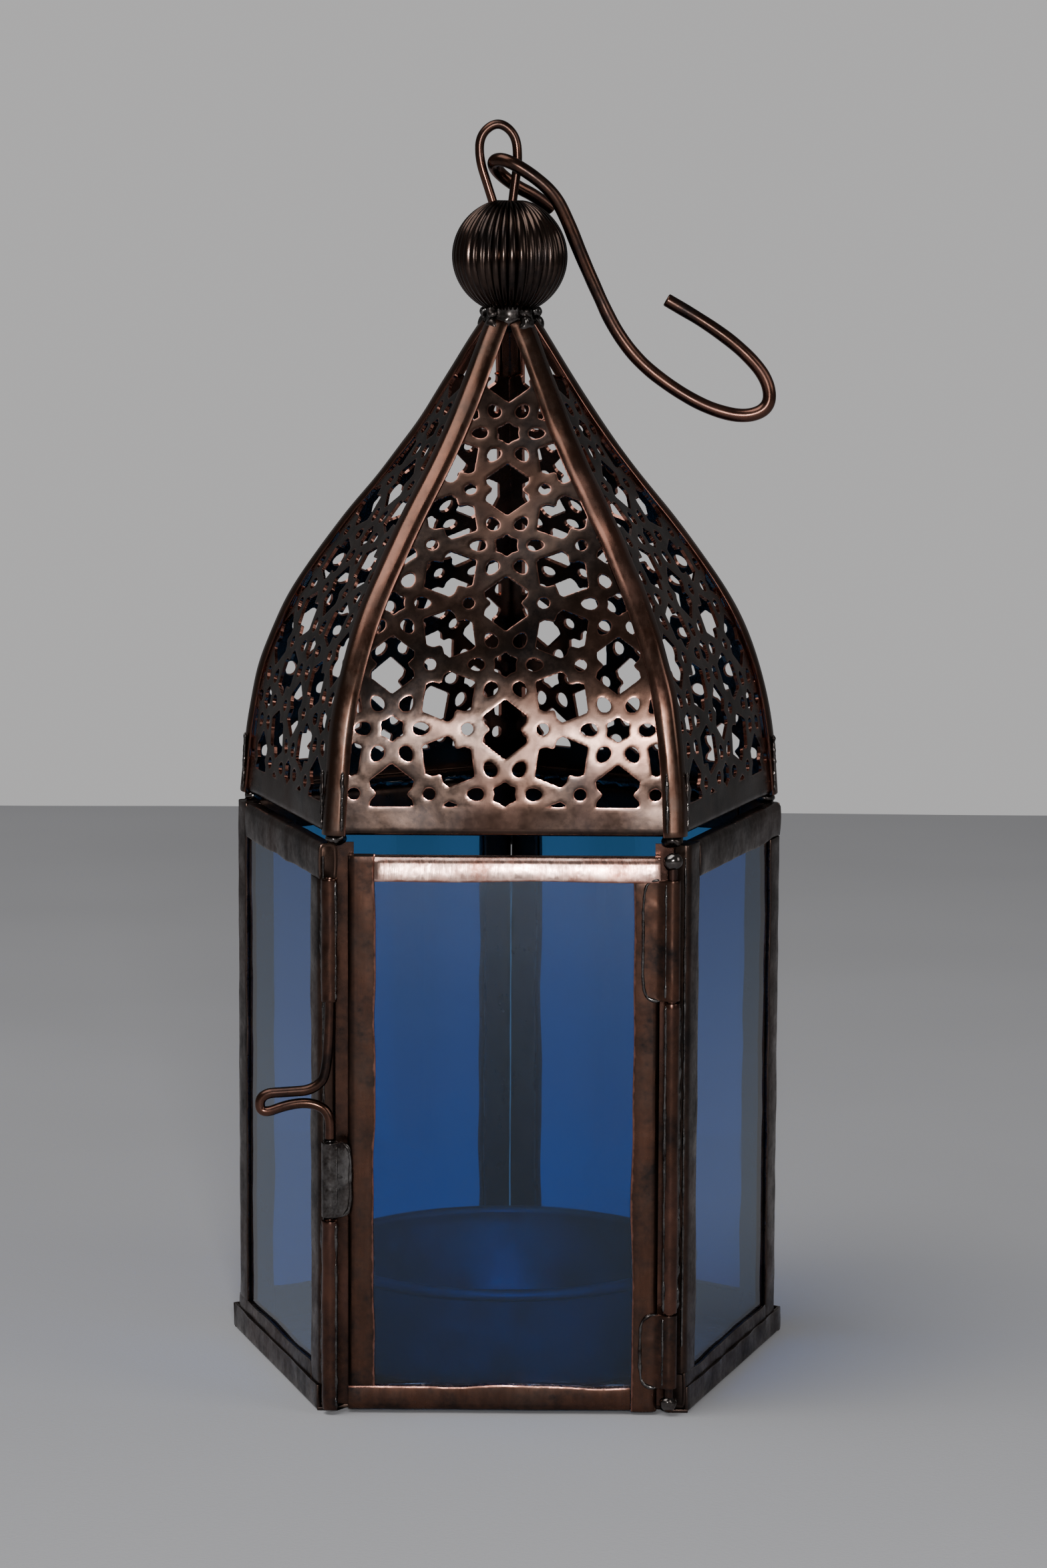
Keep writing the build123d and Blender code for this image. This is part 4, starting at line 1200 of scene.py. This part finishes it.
# ---------------------------------------------------------------- hinge, latch and solder
def rolled_sleeve(name, node, x, reach, wire_radius, seed, material):
    """A strap that lies on the door and rolls round a wire: in plan a line along the door's face that
    rises onto a circle and follows it most of the way round; upwards, its far corners are rounded."""
    b, w = body_sizes(), Millimetres("lantern_wire")
    foot, top = foot_of(node), top_of(node)
    toward = math.copysign(1, reach)
    outer = wire_radius + w.running + w.sleeve_wall
    z = np.linspace(foot, top, 44)[:, None]
    corner = min(1.5, abs(reach) - 1.4)
    near_end = np.clip(corner - np.minimum(z - foot, top - z), 0, corner)
    strap = abs(reach) - corner + np.sqrt(corner ** 2 - near_end ** 2)
    strap_x = strap * np.linspace(1, 0, 14)[None, :]
    rise = outer + w.sleeve_forward - w.sleeve_wall
    strap_y = -(w.sleeve_wall + 0.02) - rise * smooth_step(1 - strap_x / 1.9)
    wrap = np.linspace(0, math.radians(245), 22)[None, 1:]
    wrap_x = np.broadcast_to(-outer * np.sin(wrap), (len(z), wrap.size))
    wrap_y = np.broadcast_to(-w.sleeve_forward - outer * np.cos(wrap), wrap_x.shape)
    plan_x = x + toward * np.hstack([strap_x, wrap_x])
    plan_y = b.face_y + np.hstack([strap_y, wrap_y])
    points = xyz(plan_x, plan_y, z)
    points[..., 1] -= 0.05 * np.clip(ripple(points, seed, 2.6), 0, None) * (points[..., 1] < b.face_y - 0.3)
    shell = Shell()
    heart = np.array((x + toward * 0.3, b.sleeve_y + 0.15, (foot + top) / 2))
    shell.grid(points, inside=heart)
    shell.piece(name, material, "door", "antique_copper", [node], thickness=w.sleeve_wall, bevel=0.06)
    rim = Shell()
    y = b.face_y - 0.3
    far, inner = x + reach, x + toward * 1.3
    outline = [(inner, y, foot), (far - toward, y, foot), (far, y, foot + 1), (far, y, (foot + top) / 2),
               (far, y, top - 1), (far - toward, y, top), (inner, y, top)]
    rim.seam(outline, w.seam_radius, seed + 5)
    edge = x + toward * 0.75
    rim.seam([(edge, b.sleeve_y - 0.62, foot + 0.3), (edge, b.sleeve_y - 0.66, (foot + top) / 2),
              (edge, b.sleeve_y - 0.62, top - 0.3)], w.seam_radius * 0.7, seed + 7, 40)
    rim.piece(name + "_solder", soft_solder(), "door", "solder", crease=75)


def fixed_sleeve(name, node, x, wire_radius, seed):
    """A sleeve rolled round an upright wire, open towards the door, and the two lines of solder that
    hold it: in plan five sixths of a circle."""
    b, w = body_sizes(), Millimetres("lantern_wire")
    foot, top = foot_of(node), top_of(node)
    hand = math.copysign(1, x)
    outer = wire_radius + w.running + w.sleeve_wall
    turn = np.linspace(math.radians(-60), math.radians(240), 30)[None, :]
    z = np.linspace(foot, top, 50)[:, None]
    points = xyz(x + hand * outer * np.sin(turn), b.sleeve_y - outer * np.cos(turn), z)
    points[..., :2] += 0.03 * ripple(points, seed, 3)[..., None]
    shell = Shell()
    shell.grid(points, inside=np.array((x, b.sleeve_y, (foot + top) / 2)))
    shell.piece(name, wire_copper(), "lantern", "antique_copper", [node], thickness=w.sleeve_wall, bevel=0.05)
    lines = Shell()
    for across, forward, number in ((0.85, 0.55, 2), (-0.7, -0.62, 6)):
        line = [(x + hand * across, b.sleeve_y + forward, height)
                for height in (foot + 0.2, (foot + top) / 2, top - 0.2)]
        lines.seam(line, 0.26 if forward > 0 else 0.18, seed + number, 40)
    lines.piece(name + "_solder", soft_solder(), "lantern", "solder", crease=75)


class LANTERN_OT_hinge(bpy.types.Operator):
    """Makes the hinge sleeves on the door and the solder that holds the pin"""
    bl_idname = "lantern.hinge"
    bl_label = "Hinge"

    def execute(self, context):
        b, w = body_sizes(), Millimetres("lantern_wire")
        for level, seed in (("upper", 211), ("lower", 231)):
            rolled_sleeve(level + "_hinge_sleeve", f"door_{level}_knuckle", b.pin_x, -w.strap_reach,
                          w.pin_wire, seed, door_copper())
        fixed_sleeve("barrel_sleeve", "hinge_barrel", b.pin_x, w.pin_wire, 271)
        foot, top = foot_of("hinge_pin"), top_of("hinge_pin")
        wire_piece("straight_pin", [(b.pin_x, b.sleeve_y, foot), (b.pin_x, b.sleeve_y, (foot + top) / 2),
                                    (b.pin_x, b.sleeve_y, top)], w.pin_wire, "hinge_pin", "lantern", 75)
        web = (b.web_inner + b.web_outer) / 2
        shell = Shell()
        shell.lump((b.pin_x, b.sleeve_y, top - 0.1), (1.12, 1.1, 1.05), 241, 0.07)
        shell.seam([(b.pin_x, b.sleeve_y, top), (*web, top)], 0.62, 243, 20)
        shell.lump((b.pin_x, b.sleeve_y, foot + 0.9), (0.98, 0.95, 0.9), 245, 0.08)
        shell.seam([(b.pin_x, b.sleeve_y, foot + 0.9), (*web, foot + 0.9)], 0.6, 247, 20)
        shell.piece("pin_solder", soft_solder(), "lantern", "solder", ["hinge_pin_solder"], crease=75)
        return {"FINISHED"}


class LANTERN_OT_latch(bpy.types.Operator):
    """Makes the sliding bolt, its guide and its keeper"""
    bl_idname = "lantern.latch"
    bl_label = "Latch"

    def execute(self, context):
        b, w = body_sizes(), Millimetres("lantern_wire")
        end, top = foot_of("latch_bolt"), top_of("latch_bolt")
        middle, pinch = end + 4.95, 2 * w.bolt_wire + 0.15
        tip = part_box("latch_bolt")[0][0] / MM + w.bolt_wire
        side = [
            (b.bolt_x, top), (b.bolt_x, middle + 3.1), (b.bolt_x - 1.9, middle + pinch / 2 + 0.25),
            (b.bolt_x - 4.8, middle + pinch / 2), (tip, middle + 0.45), (tip, middle - 2.1),
            (b.bolt_x - 4.8, middle - pinch / 2 - 0.1), (b.bolt_x - 2.0, middle - pinch / 2 + 0.1),
            (b.bolt_x, middle - 1.75), (b.bolt_x, end),
        ]
        wire_piece("bent_bolt", [(x, b.sleeve_y, z) for x, z in side], w.bolt_wire, "latch_bolt", "latch", 77)
        rolled_sleeve("keeper_sleeve", "latch_keeper", b.bolt_x, w.keeper_reach,
                      w.bolt_wire, 251, soft_solder())
        fixed_sleeve("guide_sleeve", "latch_guide", b.bolt_x, w.bolt_wire, 261)
        fixed_sleeve("lower_guide_sleeve", "latch_lower_guide", b.bolt_x, w.bolt_wire, 281)
        return {"FINISHED"}


class LANTERN_OT_solder(bpy.types.Operator):
    """Runs the solder in the corners, under the roof and at the feet of the ribs"""
    bl_idname = "lantern.solder"
    bl_label = "Solder"

    def execute(self, context):
        b, r = body_sizes(), Millimetres("lantern_roof")
        root = np.linalg.norm(b.web_inner)
        corners = Shell()
        for k in (-1, 0, 1):
            turn = math.pi / 2 + k * STEP
            reach = root + b.depth * 0.4
            under_rail = b.body_top - b.flange
            for low, high in ((b.tray_rim - 0.2, b.tray_rim + 5), (under_rail - 5, under_rail)):
                x, y = reach * math.cos(turn), reach * math.sin(turn)
                line = [(x, y, low), (x, y, (low + high) / 2), (x, y, high)]
                corners.seam(line, 0.4, int(300 + 10 * k + low), 20)
        corners.piece("groove_solder", soft_solder(), "lantern", "solder", ["corner_solder"], crease=75)
        posts = Shell()
        for k in range(SIDES):
            turn = corner_turn(k)
            reach = root - 0.3
            middle = (b.body_top + r.eave_height) / 2
            centre = (reach * math.cos(turn), reach * math.sin(turn), middle)
            posts.lump(centre, (1.3, 1.3, 0.85), 330 + k, 0.12)
        behind = (b.apothem - 1.6) / math.cos(HALF)
        for k in (2, 3):
            turns = np.array((corner_turn(k - 1), corner_turn(k)))
            start, end = behind * np.stack([np.cos(turns), np.sin(turns)], 1)
            line = [(*start, middle), (*(start + end) / 2, middle), (*end, middle)]
            posts.seam(line, 0.62, 340 + k, 40)
        posts.piece("roof_solder", soft_solder(), "lantern", "solder", ["roof_posts"], crease=75)
        feet = Shell()
        for k in range(SIDES):
            turn = corner_turn(k)
            reach = r.eave_apothem / math.cos(HALF)
            heading = np.array((math.cos(turn), math.sin(turn)))
            across = np.array((-heading[1], heading[0]))
            for toward in (-1, 1):
                start = heading * (reach - 0.55) + across * toward * 1.5
                low, high = r.eave_height + 0.5, r.eave_height + 7.5
                rise = heading * (-0.25)
                feet.seam([(*start, low), (*(start + rise / 2), (low + high) / 2), (*(start + rise), high)],
                          0.2, 350 + 4 * k + toward, 30)
        feet.piece("rib_foot_solder", soft_solder(), "lantern", "solder", crease=75)
        webs = Shell()
        for toward in (-1, 1):
            edge = b.web_outer + (b.web_inner - b.web_outer) * 0.22
            x, y = toward * edge[0], edge[1] - 0.12
            webs.seam([(x, y, 8.0), (x + 0.05, y, 26.0), (x, y, 44.0), (x, y, 66.5)], 0.14, 370 + toward, 60)
        webs.piece("web_solder", soft_solder(), "lantern", "solder", crease=75)
        return {"FINISHED"}


# ---------------------------------------------------------------- stage
# Each lamp's name, place and aim in metres, width in metres and power in watts.
LAMPS = (
    ("Overhead softbox", (-0.35, -0.25, 0.95), (0, 0.05, 0), 0.7, 5.6),
    ("Flash", (0.03, -0.57, 0.185), (0, 0, 0.075), 0.06, 1.7),
    ("Right fill", (0.9, -0.5, 0.5), (0, 0, 0.06), 0.5, 2.0),
)
SEEN_STRENGTH = 1.0          # the plain ground as the camera sees it
LIT_STRENGTH = 0.24          # the same ground as it lights the lantern


def lamp(name, place, aim, size, power):
    """A square lamp that shines from a place towards another."""
    light = bpy.data.lights.new(name, "AREA")
    light.size = size
    light.energy = power
    holder = bpy.data.objects.new(name, light)
    ahead = unit(np.array(aim, float) - np.array(place, float))
    side = unit(np.cross(ahead, (0, 0, 1)))
    up = np.cross(side, ahead)
    holder.matrix_world = Matrix([(side[i], up[i], -ahead[i], place[i]) for i in range(3)] + [(0, 0, 0, 1)])
    bpy.context.scene.collection.objects.link(holder)
    return holder


class LANTERN_OT_stage(bpy.types.Operator):
    """Sets the floor, the plain ground, the lamps and the camera"""
    bl_idname = "lantern.stage"
    bl_label = "Stage"

    def execute(self, context):
        st = context.scene.lantern_stage
        shell = Shell()
        x = np.linspace(-st.floor_width / 2, st.floor_width / 2, 90)[None, :] / MM
        y = np.linspace(-1.3, st.floor_depth, 110)[:, None] / MM
        mesh = bpy.data.meshes.new("cloth_floor")
        shell.grid(xyz(x, y, 0.0), inside=np.array((0, 0, -1000.0)))
        points = np.vstack(shell.points)
        away = smooth_step((np.hypot(points[:, 0], points[:, 1]) - 45) / 120)
        points[:, 2] = -1.2 * away * (1.2 + ripple(points, 401, 190) * 0.6 + 0.25 * ripple(points, 402, 60))
        mesh.from_pydata((points * MM).tolist(), [], shell.faces)
        mesh.shade_smooth()
        mesh.materials.append(pale_cloth())
        floor = bpy.data.objects.new("cloth_floor", mesh)
        context.scene.collection.objects.link(floor)

        world = bpy.data.worlds.new("Plain ground")
        context.scene.world = world
        world.use_nodes = True
        world.node_tree.nodes.clear()
        tree = Tree(world.node_tree)
        seen = tree.add("ShaderNodeBackground", None, Color=tint("backdrop"), Strength=SEEN_STRENGTH)
        lit = tree.add("ShaderNodeBackground", None, Color=tint("backdrop"), Strength=LIT_STRENGTH)
        camera_ray = tree.add("ShaderNodeLightPath").outputs["Is Camera Ray"]
        both = tree.add("ShaderNodeMixShader", None, Fac=camera_ray)
        world.node_tree.links.new(lit.outputs[0], both.inputs[1])
        world.node_tree.links.new(seen.outputs[0], both.inputs[2])
        tree.add("ShaderNodeOutputWorld", None, Surface=both.outputs[0])

        for name, place, aim, size, power in LAMPS:
            lamp(name, place, aim, size, power * st.lamp_strength)

        camera = bpy.data.cameras.new("Camera")
        camera.lens = st.lens
        camera.sensor_width = 36
        camera.clip_start = 0.01
        holder = bpy.data.objects.new("Camera", camera)
        place = Matrix.Translation((st.camera_side, -st.camera_back, st.camera_height))
        heading = Matrix.Rotation(st.camera_heading, 4, "Z")
        pitch = Matrix.Rotation(math.pi / 2 - st.camera_pitch, 4, "X")
        holder.matrix_world = place @ heading @ pitch @ Matrix.Rotation(st.camera_roll, 4, "Z")
        context.scene.collection.objects.link(holder)
        context.scene.camera = holder
        return {"FINISHED"}


# ---------------------------------------------------------------- panel and registration
OPERATORS = (
    LANTERN_OT_panels, LANTERN_OT_door, LANTERN_OT_glass, LANTERN_OT_tray, LANTERN_OT_cup,
    LANTERN_OT_roof_sheets, LANTERN_OT_ribs, LANTERN_OT_finial, LANTERN_OT_loop, LANTERN_OT_hook,
    LANTERN_OT_hinge, LANTERN_OT_latch, LANTERN_OT_solder, LANTERN_OT_stage,
)


class LANTERN_PT_builder(bpy.types.Panel):
    """Lists the lantern's pieces and settings"""
    bl_idname = "LANTERN_PT_builder"
    bl_label = "Lantern"
    bl_space_type = "VIEW_3D"
    bl_region_type = "UI"
    bl_category = "Lantern"

    def draw(self, context):
        for operator in OPERATORS:
            self.layout.operator(operator.bl_idname)
        for group, kind in GROUPS.items():
            box = self.layout.box()
            for name in kind.__annotations__:
                box.prop(getattr(context.scene, group), name)


def register():
    for group, kind in GROUPS.items():
        bpy.utils.register_class(kind)
        setattr(bpy.types.Scene, group, bpy.props.PointerProperty(type=kind))
    for kind in (*OPERATORS, LANTERN_PT_builder):
        bpy.utils.register_class(kind)


def unregister():
    for kind in (LANTERN_PT_builder, *reversed(OPERATORS)):
        bpy.utils.unregister_class(kind)
    for group, kind in reversed(GROUPS.items()):
        delattr(bpy.types.Scene, group)
        bpy.utils.unregister_class(kind)


def main():
    """Builds every piece round the frame."""
    register()
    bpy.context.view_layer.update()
    for operator in OPERATORS:
        space, name = operator.bl_idname.split(".")
        getattr(getattr(bpy.ops, space), name)()


if __name__ == "__main__":
    main()
